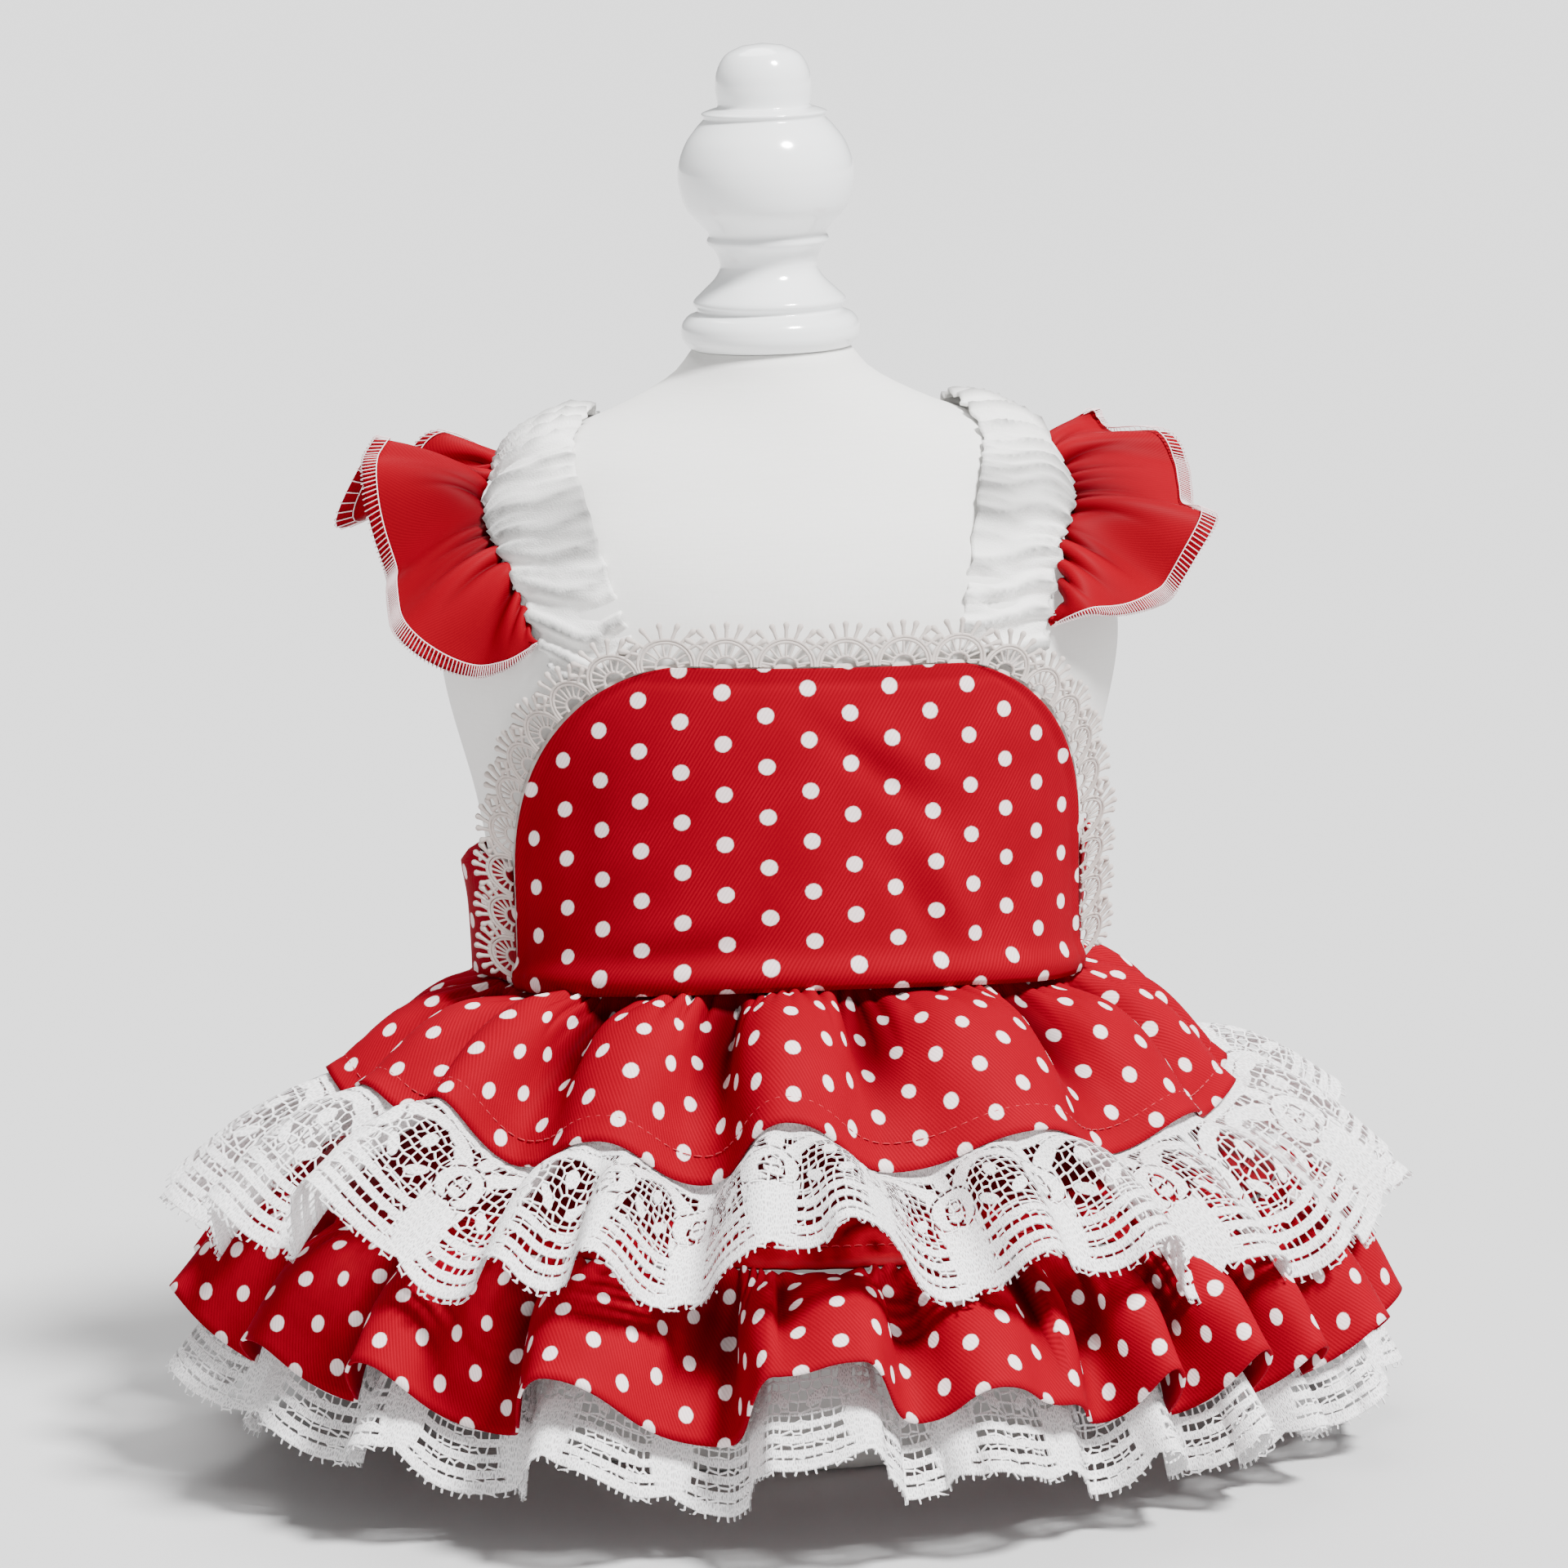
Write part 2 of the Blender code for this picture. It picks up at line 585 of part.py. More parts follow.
def main():
    for thing in list(bpy.data.objects):
        bpy.data.objects.remove(thing, do_unlink=True)
    dotted = make_material("dotted_satin_cotton", "C8101E", 0.55)
    red = make_material("red_satin", "D41420", 0.4)
    white = make_material("white_gathered_cotton", "F2F0EE", 0.75)
    lace = make_material("white_lace", "F4F2F2", 0.8)
    guipure = make_material("ivory_guipure", "EFE9E2", 0.8)
    linen = make_material("form_linen", "EFEEEA", 0.85)
    lacquer = make_material("cap_lacquer", "F4F4F2", 0.15)

    build_form(linen)
    build_cap(lacquer)
    cloth("bodice_front", dotted, 22, 10, front_point, CLOTH_WALL)
    cloth("bodice_band", dotted, 30, 2, band_point, CLOTH_WALL)
    cloth("bodice_trim", guipure, TRIM_SCALLOPS * COLUMNS_PER_SCALLOP, 2, trim_point, LACE_WALL)
    for side, name in ((-1, "left"), (1, "right")):
        strap = cloth("strap_" + name, white, 24, 3, lambda u, v: strap_point(u, v, side), CLOTH_WALL)
        frill = cloth("frill_" + name, red, 30, 4, lambda u, v: frill_point(u, v, side), CLOTH_WALL)
        inside_out = strap if side == 1 else frill
        inside_out.data.flip_normals()
    cloth("skirt_tier", dotted, SKIRT_COLUMNS, 4, tier_point, CLOTH_WALL, closed=True)
    cloth("lace_upper", lace, SKIRT_COLUMNS, 4, lace_upper_point, LACE_WALL, closed=True)
    cloth("underskirt", red, SKIRT_COLUMNS // 2, 4, underskirt_point, CLOTH_WALL, closed=True)
    cloth("skirt_ruffle", dotted, SKIRT_COLUMNS, 3, ruffle_point, CLOTH_WALL, closed=True)
    cloth("lace_lower", lace, SKIRT_COLUMNS, 2, lace_lower_point, LACE_WALL, closed=True)


main()
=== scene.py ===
"""A dog's dress on a small dress form: dotted cotton, red satin, gathered white straps and lace.

Sizes are named in millimetres and turned to metres where a point is made. +Z is up and the dress's
front looks along -Y. Angles round the body are measured from the front.
"""
import math

import bmesh
import bpy
import numpy as np
from mathutils import Matrix, Vector


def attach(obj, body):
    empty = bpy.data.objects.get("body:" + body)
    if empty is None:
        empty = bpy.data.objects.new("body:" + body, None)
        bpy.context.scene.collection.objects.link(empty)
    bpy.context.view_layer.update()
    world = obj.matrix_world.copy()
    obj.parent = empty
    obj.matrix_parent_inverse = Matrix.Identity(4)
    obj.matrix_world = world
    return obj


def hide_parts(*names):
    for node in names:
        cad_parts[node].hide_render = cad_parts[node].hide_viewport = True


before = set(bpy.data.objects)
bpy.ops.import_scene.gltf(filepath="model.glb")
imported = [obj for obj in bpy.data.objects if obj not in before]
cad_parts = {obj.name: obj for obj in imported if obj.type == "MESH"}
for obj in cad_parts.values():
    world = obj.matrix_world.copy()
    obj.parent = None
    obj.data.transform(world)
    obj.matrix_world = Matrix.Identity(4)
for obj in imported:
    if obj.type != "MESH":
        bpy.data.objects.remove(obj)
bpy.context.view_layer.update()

MM = 0.001
TURN = 2.0 * math.pi

# The camera stands a little above the dress and to its left, and is turned slightly
CAMERA_DISTANCE = 1500.0
CAMERA_HEIGHT = 408.0
CAMERA_SIDE_DEG = -3.0
CAMERA_ROLL_DEG = 1.7
CAMERA_TARGET = (0.0, 0.0, 145.0)
CAMERA_LENS = 157.05
SENSOR_WIDTH = 36.0

# A pale floor, the air round it and three soft lights
FLOOR_HALF = 12000.0
FLOOR_BELOW = 0.5
AIR_BRIGHTNESS = 0.4
LAMP_DISTANCE = 1500.0
LIGHTS = (
    # name, the way the light comes from, strength, softness in degrees
    ("key", (0.58, -0.66, 1.2), 10.5, 12.0),
    ("fill", (-0.5, -1.0, 0.3), 0.3, 60.0),
    ("top", (-0.1, 0.5, 1.0), 2.4, 40.0),
)

# Walls and clearances of cloth
CLOTH_WALL = 0.7
LACE_WALL = 0.3
SEAM_GAP = 0.4
FORM_GAP = 0.6
HEM_OVERLAP = 5.0
# How far the outer face of the panel, of its trim and of the band stands from the form
PANEL_AWAY = 3.1
TRIM_AWAY = 2.9
BAND_AWAY = 1.9
# The lower lace's seam lies this far inside and below the ruffle's
UNDER_RUFFLE = 1.5
RUFFLE_GAP = 0.9

# The dress form
FORM_OVALS = (
    # height, half width, half depth
    (0.0, 60.0, 46.0), (60.0, 61.0, 47.0), (109.0, 63.5, 48.0), (143.0, 68.0, 51.0), (175.0, 75.0, 53.5),
    (195.0, 73.0, 50.0), (206.0, 68.5, 45.5), (214.0, 62.5, 40.0), (221.0, 55.5, 34.5),
    (226.0, 46.0, 29.5), (231.0, 33.5, 24.5), (237.0, 22.5, 20.0), (242.7, 17.5, 17.5),
)
CAP_OUTLINE = (
    # radius, height
    (17.9, 243.0), (19.5, 245.2), (19.6, 248.0), (18.2, 250.0), (16.3, 250.9), (16.1, 251.7), (16.9, 253.2),
    (14.6, 255.6), (11.8, 258.4), (10.7, 261.2), (11.7, 264.2), (13.5, 266.2), (13.0, 268.0), (14.4, 269.9),
    (17.6, 273.4), (19.2, 278.4), (19.3, 283.0), (17.6, 287.8), (15.0, 291.4), (13.4, 293.2), (13.8, 294.4),
    (11.6, 295.3), (10.2, 296.0), (10.6, 299.6), (10.2, 303.4), (8.2, 307.0), (4.6, 308.9),
)
CAP_TOP = 309.5
CAP_STEPS = 4
# The oval that lengths round the body are measured on
MIDDLE_OVAL = FORM_OVALS[3]

# The bodice
WAIST = 110.0
# How far the waist seam hangs down at the left and right side
WAIST_DROOP = {-1: 5.5, 1: 7.0}
BODICE_CENTRE = 1.4
BODICE_HALF_WIDTH = 60.2
BODICE_HEIGHT = 69.8
BODICE_LEAN = 2.2
BODICE_CORNERS = {
    # side: half width of the level top, share of the height where the corner begins
    -1: (22.5, 0.33),
    1: (30.0, 0.48),
}
CORNER_POWER = 2.2
BAND_HEIGHT = 23.0
BAND_RADIUS = 59.0
BAND_BULGE = 5.4
BAND_BULGE_FROM = 0.74
BAND_BULGE_TO = 0.93
# The lower edge of the panel is a soft roll, and the cloth above it hangs slack
PANEL_ROLL = 1.6
PANEL_SLACK = 2.6
BODICE_CREASES = (
    # across, up from the waist, half length, direction, half width, height
    (16.0, 46.0, 15.0, -42.0, 3.0, -0.9),
    (22.0, 50.0, 14.0, -38.0, 3.4, 0.7),
    (31.0, 22.0, 15.0, -65.0, 3.4, 0.9),
    (24.0, 18.0, 14.0, -60.0, 3.4, -0.8),
    (46.0, 14.0, 13.0, 60.0, 4.0, -0.7),
    (-30.0, 12.0, 15.0, 18.0, 4.0, 0.6),
    (-20.0, 7.0, 12.0, 10.0, 3.4, -0.6),
    (2.0, 30.0, 20.0, 80.0, 7.0, 0.6),
    (-46.0, 34.0, 16.0, 75.0, 5.0, -0.7),
)

# The corded trim round the bodice
TRIM_INSIDE = 2.0
TRIM_SCALLOPS = 24
# At the sides the stiff lace stands out nearly straight, and keeps this share of the form's turn back
TRIM_STAND = 0.1
TRIM_ROOT = 0.4
TRIM_ARC = 1.26
TRIM_ARCS = (
    # radius as a share of half a scallop, height as a share of the radius, lift
    (0.97, TRIM_ARC, 0.5),
    (0.86, TRIM_ARC, 0.4),
    (0.40, 1.1, 0.2),
)
TRIM_SPOKES = 9
TRIM_FINGER = 3.6
TRIM_FINGERS = 7
# A loop's thickness along its length: share of the way, share of the thread's own
TRIM_LOOP = ((0.0, 0.8), (0.5, 0.85), (0.7, 1.2), (0.83, 1.4), (0.94, 1.1), (1.0, 0.4))
TRIM_TAPE = 5.0
CORD_RADIUS = 0.36
SPOKE_RADIUS = 0.27
LOOP_RADIUS = 0.5
TRIM_SIDE_SHARE = 0.72
TRIM_TOP_MIDDLE = 0.03
TRIM_RADIUS = 58.75
TRIM_SAMPLES = 400

# The shoulder straps and their frills
STRAP_EDGES = (
    # share of the way from front to back, inner edge, outer edge
    (0.0, 34.0, 52.0),
    (0.18, 40.0, 59.0),
    (0.36, 44.0, 62.5),
    (0.50, 40.0, 60.0),
    (0.66, 36.0, 55.0),
    (1.0, 25.0, 43.0),
)
STRAP_RISE = 3.6
STRAP_ASIDE = 2.2
STRAP_ASIDE_TO = 0.3
STRAP_EDGE_SHARE = 0.25
STRAP_EDGE_PULL = 1.2
STRAP_PUFF = 1.2
STRAP_LENGTH = 160.0
STRAP_RISE_FROM = 0.12
STRAP_LOWEST = 175.0
SHOULDER_LOW = 180.0
SHOULDER_HIGH = 242.0
FRILL_FROM = 0.07
FRILL_TO = 0.55
FRILL_GAP = -0.4
FRILL_LOBES = 2.6
FRILL_WAVE = 4.6
FRILL_WAVE_START = {-1: 1.9, 1: -0.9}
FRILL_SECOND_WAVE = 0.35
FRILL_CROWN = 3.0
FRILL_SEAM = 110.0
# The flat sizes that the strap's and the frill's weave is drawn on
STRAP_WEAVE = (190.0, 22.0)
FRILL_WEAVE = (140.0, 30.0)
OVERLOCK_STITCHES = 160
OVERLOCK_INSIDE = 0.885
# The free edge's place from the seam, up the front to the top corner, then turned back behind it
FRILL_EDGE = {
    # share of the way along the seam, outward, backward, upward
    -1: (
        (0.0, 0.5, -0.5, -1.0), (0.05, 0.8, -1.5, -6.0), (0.12, 5.0, -3.0, -13.6),
        (0.2, 11.3, -4.0, -18.5), (0.3, 18.7, -4.0, -21.0), (0.4, 22.8, -2.0, -18.5),
        (0.5, 23.8, 0.0, -13.9), (0.6, 25.0, 2.0, -8.8), (0.68, 26.6, 4.0, -2.3), (0.75, 27.4, 6.0, 3.4),
        (0.8, 25.6, 8.0, 7.3), (0.86, 35.5, 11.0, -12.0), (0.90, 22.0, 14.0, -6.0),
        (0.93, 19.0, 12.0, 4.0), (0.965, 12.5, 10.0, 8.0), (1.0, 3.0, 6.0, 2.5),
    ),
    1: (
        (0.0, 0.3, -0.5, -0.5), (0.05, 1.7, -1.5, -3.6), (0.12, 6.2, -3.0, -7.4),
        (0.2, 11.9, -4.0, -11.6), (0.28, 18.7, -4.0, -14.0), (0.36, 24.2, -3.0, -13.6),
        (0.44, 27.6, -1.0, -12.0), (0.52, 31.0, 2.0, -9.4), (0.58, 27.6, 2.0, -8.0),
        (0.66, 28.0, 4.0, -3.8), (0.74, 28.6, 6.0, 2.0), (0.8, 25.6, 7.0, 5.4), (0.87, 14.0, 13.0, -1.0),
        (0.92, 13.0, 12.0, 1.4), (0.96, 13.4, 9.0, 4.8), (1.0, 11.0, 5.0, 5.6),
    ),
}

# The skirt: what each piece measures down its slope
TIER_SLOPE = 51.0
# The tier is shorter and the upper lace longer at the sides, by these shares
TIER_SIDE_SHORTER = 0.14
LACE_SIDE_LONGER = 0.14
UNDERSKIRT_REACH = 47.5
UNDERSKIRT_FALL = 43.0
LACE_UPPER_SLOPE = 36.5
RUFFLE_SLOPE = 39.0
LACE_LOWER_SLOPE = 48.5
UNDERSKIRT_TOP = 101.5
UNDERSKIRT_STEEP = 0.35
UNDERSKIRT_FLARE = 0.45
UNDERSKIRT_LENGTH = 66.0
SIDE_EASE = 0.08
RIGHT_DROP = 3.0
TIER_ROUND, TIER_ARCH, TIER_SIDE_FLAT = 0.55, 0.10, 0.7
LACE_UPPER_ROUND, LACE_UPPER_ARCH = 1.6, 0.06
RUFFLE_ROUND, RUFFLE_ARCH = 1.2, 0.07
LACE_LOWER_ROUND, LACE_LOWER_ARCH = 1.2, 0.03
LACE_LOWER_STEEPER = 23.0
LACE_LOWER_SHARE = 0.72
HEM_TURN = 6.0
THREAD_RADIUS = 0.12
STITCH_LENGTH = 1.8
STITCH_GAP = 0.8
# A stitch's height above the cloth along its length: it dips in at both ends
STITCH_RISE = ((0.0, -0.15), (0.15, 0.1), (0.5, 0.16), (0.85, 0.1), (1.0, -0.15))
# Share of the upper lace's length that is sewn to the tier's inner side
LACE_TUCK = 0.12
LACE_BEHIND = 0.7

# Folds seen from the front, by angle round the body and the slope's dip below level
TIER_FOLDS = (
    # angle, dip
    (-96.0, 33.0), (-84.0, 24.0), (-74.0, 31.0), (-63.0, 20.0), (-54.0, 27.0), (-47.0, 19.0),
    (-38.5, 41.0), (-25.0, 29.0), (-14.0, 45.0), (-3.5, 23.0), (9.5, 42.0), (26.0, 31.0),
    (43.0, 47.0), (56.0, 37.0), (68.0, 44.0), (80.0, 37.0), (90.0, 44.0), (98.0, 36.0), (106.0, 45.0),
)
LACE_UPPER_FOLDS = (
    # angle, dip
    (-104.0, 36.0), (-96.0, 26.0), (-88.0, 44.0), (-80.0, 30.0), (-71.0, 42.0), (-63.0, 26.0),
    (-56.0, 38.0), (-45.0, 14.0), (-34.5, 31.0), (-29.5, 22.0), (-24.5, 37.0), (-19.5, 14.0),
    (-14.0, 29.0), (-8.5, 21.0), (-3.0, 29.0), (3.0, 8.0), (12.5, 33.0), (18.5, 20.0),
    (24.5, 38.0), (31.0, 22.0), (38.0, 40.0), (45.0, 26.0), (55.0, 54.0), (65.0, 34.0),
    (75.0, 44.0), (84.0, 27.0), (92.0, 40.0), (98.0, 31.0), (104.0, 42.0),
)
RUFFLE_FOLDS = (
    # angle, dip
    (-88.0, 58.0), (-79.0, 30.0), (-68.0, 56.0), (-56.0, 32.0), (-48.0, 58.0), (-40.0, 28.0),
    (-30.0, 66.0), (-22.0, 24.0), (-9.0, 59.0), (-4.5, 20.0), (2.0, 15.0), (6.5, 43.0),
    (12.5, 28.0), (19.0, 40.0), (23.5, 57.0), (28.0, 30.0), (32.5, 64.0), (38.0, 30.0),
    (43.0, 64.0), (48.0, 38.0), (54.0, 64.0), (63.0, 40.0), (73.0, 62.0), (83.0, 46.0),
    (93.0, 62.0), (104.0, 46.0),
)

# Printed dots: columns this far apart, and the step between two dots of a column
DOT_RADIUS = 1.68
DOT_COLUMNS = 8.9
DOT_STEP = 11.1
DOT_ASIDE = 2.7
DOT_LOWER = 2.1
# The print's rows sag towards the bodice's left and right side, per square millimetre
DOT_SAG = {-1: 0.0018, 1: 0.001}
DOT_LEFT_CLOSER = 0.965
DOT_LEVEL = 143.0
TWILL_SLANT_DEG = 32.0

# The lace's repeat: a scalloped hem with a fringe, a solid border, a fan of bands, a rose and leaves,
# and a solid heading along the upper edge
LACE_REPEAT = 30.0
LACE_SCALLOP = 3.4
LACE_PICOT = 1.3
LACE_BORDER = 2.4
LACE_BAND_STEP = 3.2
LACE_FAN = 13.0
LACE_HEADING = 7.0
LACE_MOTIFS = (
    # across from the scallop's middle, up from the hem, half sizes, turn
    (15.0, 9.5, 5.2, 9.0, 0.0),
    (9.2, 20.0, 1.0, 8.0, 4.0),
    (15.0, 19.5, 6.0, 6.6, 0.0),
    (8.2, 27.6, 2.1, 5.6, 52.0),
    (3.2, 30.4, 4.4, 1.7, -14.0),
    (0.0, 24.0, 1.7, 2.4, 0.0),
    (15.0, 29.0, 2.2, 3.4, 0.0),
    (4.2, 16.6, 1.3, 2.8, -50.0),
)
LACE_PETALS = (
    # across, up, half sizes, turn
    (14.2, 20.4, 1.2, 1.5, 20.0),
    (15.6, 18.8, 3.0, 3.4, 0.0),
    (13.4, 20.0, 5.2, 5.2, -12.0),
)


def mix(a, b, t):
    return a + (b - a) * t


def clamp(t, low=0.0, high=1.0):
    return min(high, max(low, t))


def ease(t):
    return (1.0 - math.cos(math.pi * t)) / 2.0


def bump(x, width):
    """A soft hill, 1 at 0 and almost 0 beyond twice its width."""
    return math.exp(-(x / width) ** 2)


def between(rows, key, column):
    """A smooth curve through one column of a table whose first column rises."""
    last = len(rows) - 1
    if key <= rows[0][0]:
        return rows[0][column]
    if key >= rows[last][0]:
        return rows[last][column]
    i = next(n for n in range(last) if rows[n + 1][0] >= key)
    x0, x1 = rows[i][0], rows[i + 1][0]
    y0, y1 = rows[i][column], rows[i + 1][column]
    before, after = rows[max(i - 1, 0)], rows[min(i + 2, last)]
    slope0 = (y1 - before[column]) / (x1 - before[0])
    slope1 = (after[column] - y0) / (after[0] - x0)
    h = x1 - x0
    t = (key - x0) / h
    return (
        y0 * (1 + 2 * t) * (1 - t) ** 2 + h * slope0 * t * (1 - t) ** 2
        + y1 * t * t * (3 - 2 * t) + h * slope1 * t * t * (t - 1)
    )


# Making pieces

def placed(name, data):
    """An object for a mesh, a curve, a lens or a light, linked to the scene."""
    thing = bpy.data.objects.new(name, data)
    bpy.context.scene.collection.objects.link(thing)
    return thing


def finish_piece(bm, name, material):
    mesh = bpy.data.meshes.new(name)
    bm.to_mesh(mesh)
    bm.free()
    mesh.materials.append(material)
    mesh.shade_smooth()
    piece = placed(name, mesh)
    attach(piece, "root")
    return piece


def cloth(name, material, columns, rows, point, flat, wall, closed=False, relief=None, inside_out=False):
    """A wall of cloth with its outer face on point(u, v), marked with its flat place in millimetres.
    relief(u, v) then lifts that face, in millimetres, for gathers, creases and seams."""
    bm = bmesh.new()
    bmesh.ops.create_grid(bm, x_segments=columns, y_segments=rows, size=0.5)
    share_u = bm.verts.layers.float.new("u")
    share_v = bm.verts.layers.float.new("v")
    # the lift is also kept on the mesh, where the cloth materials read it to paint shade into the grooves
    lift = bm.verts.layers.float.new("lift_mm")
    marks = bm.loops.layers.uv.new("flat_mm")
    for vert in bm.verts:
        vert[share_u] = round((vert.co.x + 0.5) * columns) / columns
        vert[share_v] = round((vert.co.y + 0.5) * rows) / rows
    for face in bm.faces:
        for loop in face.loops:
            loop[marks].uv = flat(loop.vert[share_u], loop.vert[share_v])
    for vert in bm.verts:
        vert.co = Vector(point(vert[share_u], vert[share_v])) * MM
    if closed:
        bmesh.ops.remove_doubles(bm, verts=bm.verts, dist=0.01 * MM)
    if not inside_out:
        bmesh.ops.reverse_faces(bm, faces=bm.faces)
    if relief:
        bm.normal_update()
        for vert in bm.verts:
            vert[lift] = relief(vert[share_u], vert[share_v])
        lifted = [vert.co + vert.normal * vert[lift] * MM for vert in bm.verts]
        for vert, co in zip(bm.verts, lifted):
            vert.co = co
    piece = finish_piece(bm, name, material)
    thick = piece.modifiers.new("wall", "SOLIDIFY")
    thick.thickness = wall * MM
    thick.offset = -1.0
    return piece


def threads(name, material, paths, radius, sides=2):
    """Thin round threads along paths of points in millimetres; a point may carry its own radius share."""
    curve = bpy.data.curves.new(name, "CURVE")
    curve.dimensions = "3D"
    curve.bevel_depth = radius * MM
    curve.bevel_resolution = sides
    curve.use_fill_caps = True
    for path in paths:
        spline = curve.splines.new("POLY")
        spline.points.add(len(path) - 1)
        for spot, row in zip(spline.points, path):
            spot.co = (row[0] * MM, row[1] * MM, row[2] * MM, 1.0)
            spot.radius = row[3] if len(row) > 3 else 1.0
    drawn = placed(name + "_path", curve)
    bpy.context.view_layer.update()
    mesh = bpy.data.meshes.new_from_object(drawn.evaluated_get(bpy.context.evaluated_depsgraph_get()))
    bpy.data.objects.remove(drawn)
    bm = bmesh.new()
    bm.from_mesh(mesh)
    bmesh.ops.recalc_face_normals(bm, faces=bm.faces)
    return finish_piece(bm, name, material)


# Materials

def linear(hex_colour):
    parts = [int(hex_colour[i:i + 2], 16) / 255.0 for i in (0, 2, 4)]
    return tuple(((c + 0.055) / 1.055) ** 2.4 if c > 0.04045 else c / 12.92 for c in parts) + (1.0,)


def add(tree, kind, *inputs, out=0, **settings):
    """Adds a node and gives back one output. An input is a socket to link, a value to set, or None to
    leave as it is; sockets that the node's settings switch off aren't counted."""
    node = tree.nodes.new("ShaderNode" + kind)
    for key, value in settings.items():
        setattr(node, key, value)
    for socket, value in zip([socket for socket in node.inputs if socket.enabled], inputs):
        if isinstance(value, bpy.types.NodeSocket):
            tree.links.new(value, socket)
        elif value is not None:
            socket.default_value = value
    return [socket for socket in node.outputs if socket.enabled][out]


def new_material(name, roughness, sheen=0.0, specular=0.5, coat=0.0):
    material = bpy.data.materials.new(name)
    material.use_nodes = True
    shader = material.node_tree.nodes["Principled BSDF"]
    for socket, value in (
        ("Roughness", roughness), ("Sheen Weight", sheen), ("Sheen Roughness", 0.4),
        ("Specular IOR Level", specular), ("Coat Weight", coat), ("Coat Roughness", 0.08),
    ):
        shader.inputs[socket].default_value = value
    return material, material.node_tree


def finished(material, colour, height, strength, depth):
    """Links a material's colour and the fine relief of its skin, with its depth in millimetres."""
    tree = material.node_tree
    shader = tree.nodes["Principled BSDF"]
    tree.links.new(colour, shader.inputs["Base Color"])
    tree.links.new(add(tree, "Bump", strength, depth * MM, None, height), shader.inputs["Normal"])
    return material


def flat_place(tree):
    """Place on the cloth as it was cut, in millimetres: across it and down it."""
    marks = add(tree, "UVMap", uv_map="flat_mm")
    across = add(tree, "SeparateXYZ", marks)
    return marks, across, across.node.outputs[1]


def in_repeat(tree, place, repeat, shift=0.0):
    """Place from the middle of a pattern's repeat, as a share of it; repeat and shift are in millimetres."""
    repeats = add(tree, "Math", place, 1.0 / repeat, shift / repeat, operation="MULTIPLY_ADD")
    share = add(tree, "Math", repeats, operation="FRACT")
    return add(tree, "Math", share, 0.5, operation="SUBTRACT")


def twill(tree, marks, pitch):
    """Height of a fine twill: slanting ribs this many millimetres apart, broken by the single threads."""
    slanted = add(tree, "Mapping", marks, None, (0.0, 0.0, math.radians(TWILL_SLANT_DEG)))
    # at a scale of 1 the bands are a twentieth of a turn apart
    return add(
        tree, "TexWave", slanted, TURN / pitch / 20.0, 0.6, 2.0, 6.0, out=1, wave_type="BANDS",
        bands_direction="X",
    )


def painted_groove_shade(tree, colour, deep, darkest, level=0.0):
    """Paints shade into a colour in the cloth's grooves, where little light reaches; deep is in millimetres
    under a level."""
    lift = add(tree, "Attribute", out=2, attribute_name="lift_mm")
    painted_shade_factor = add(tree, "MapRange", lift, level - deep, level, darkest, 1.0)
    return add(tree, "VectorMath", colour, painted_shade_factor, operation="SCALE")


def dotted_cotton():
    """Printed satin-weave cotton: a soft sheen, a fine slanting rib, and opaque dots with soft edges."""
    material, tree = new_material("printed_satin_cotton", 0.6, specular=0.01)
    marks, x, y = flat_place(tree)
    distances = []
    for shift_x, shift_y in ((0.0, 0.0), (DOT_COLUMNS, DOT_STEP / 2.0)):
        parts = []
        for place, shift, repeat in ((x, shift_x, 2.0 * DOT_COLUMNS), (y, shift_y, DOT_STEP)):
            share = in_repeat(tree, place, repeat, shift)
            parts.append(add(tree, "Math", share, repeat, operation="MULTIPLY"))
        distances.append(add(tree, "VectorMath", add(tree, "CombineXYZ", *parts), operation="LENGTH"))
    nearest = add(tree, "Math", *distances, operation="MINIMUM")
    ragged = add(tree, "TexNoise", marks, 1.6, 3.0)
    wavy = add(tree, "Math", ragged, 0.3, nearest, operation="MULTIPLY_ADD")
    inked = add(
        tree, "MapRange", wavy, DOT_RADIUS + 0.02, DOT_RADIUS + 0.36, 1.0, 0.0,
        interpolation_type="SMOOTHSTEP",
    )
    cloudy = add(tree, "TexNoise", marks, 0.06, 3.0)
    worn = add(tree, "MapRange", cloudy, 0.3, 0.7, 0.0, 1.0)
    red = add(tree, "Mix", worn, linear("820016"), linear("90001B"), data_type="RGBA")
    ribs = twill(tree, marks, 0.75)
    red_ribbed = add(tree, "Mix", ribs, red, linear("790013"), data_type="RGBA")
    white = add(tree, "Mix", ribs, linear("F2E2E1"), linear("E0CFCE"), data_type="RGBA")
    print_colour = add(tree, "Mix", inked, red_ribbed, white, data_type="RGBA")
    # painted shade: the print is darkened where the cloth's relief sinks into gathers, creases and fold
    # valleys
    return finished(material, painted_groove_shade(tree, print_colour, 3.4, 0.26), ribs, 0.35, 0.06)


def red_satin():
    """Plain polyester satin: brighter than the print, smooth, with a broad soft gloss."""
    material, tree = new_material("plain_red_satin", 0.5, specular=0.03)
    marks = flat_place(tree)[0]
    cloudy = add(tree, "TexNoise", marks, 0.05, 2.0)
    red = add(tree, "Mix", cloudy, linear("7C0012"), linear("880015"), data_type="RGBA")
    ribs = twill(tree, marks, 0.6)
    ribbed = add(tree, "Mix", ribs, red, linear("780012"), data_type="RGBA")
    # painted shade: the satin is darkened in the grooves of its gathers
    return finished(material, painted_groove_shade(tree, ribbed, 2.4, 0.26), ribs, 0.2, 0.04)


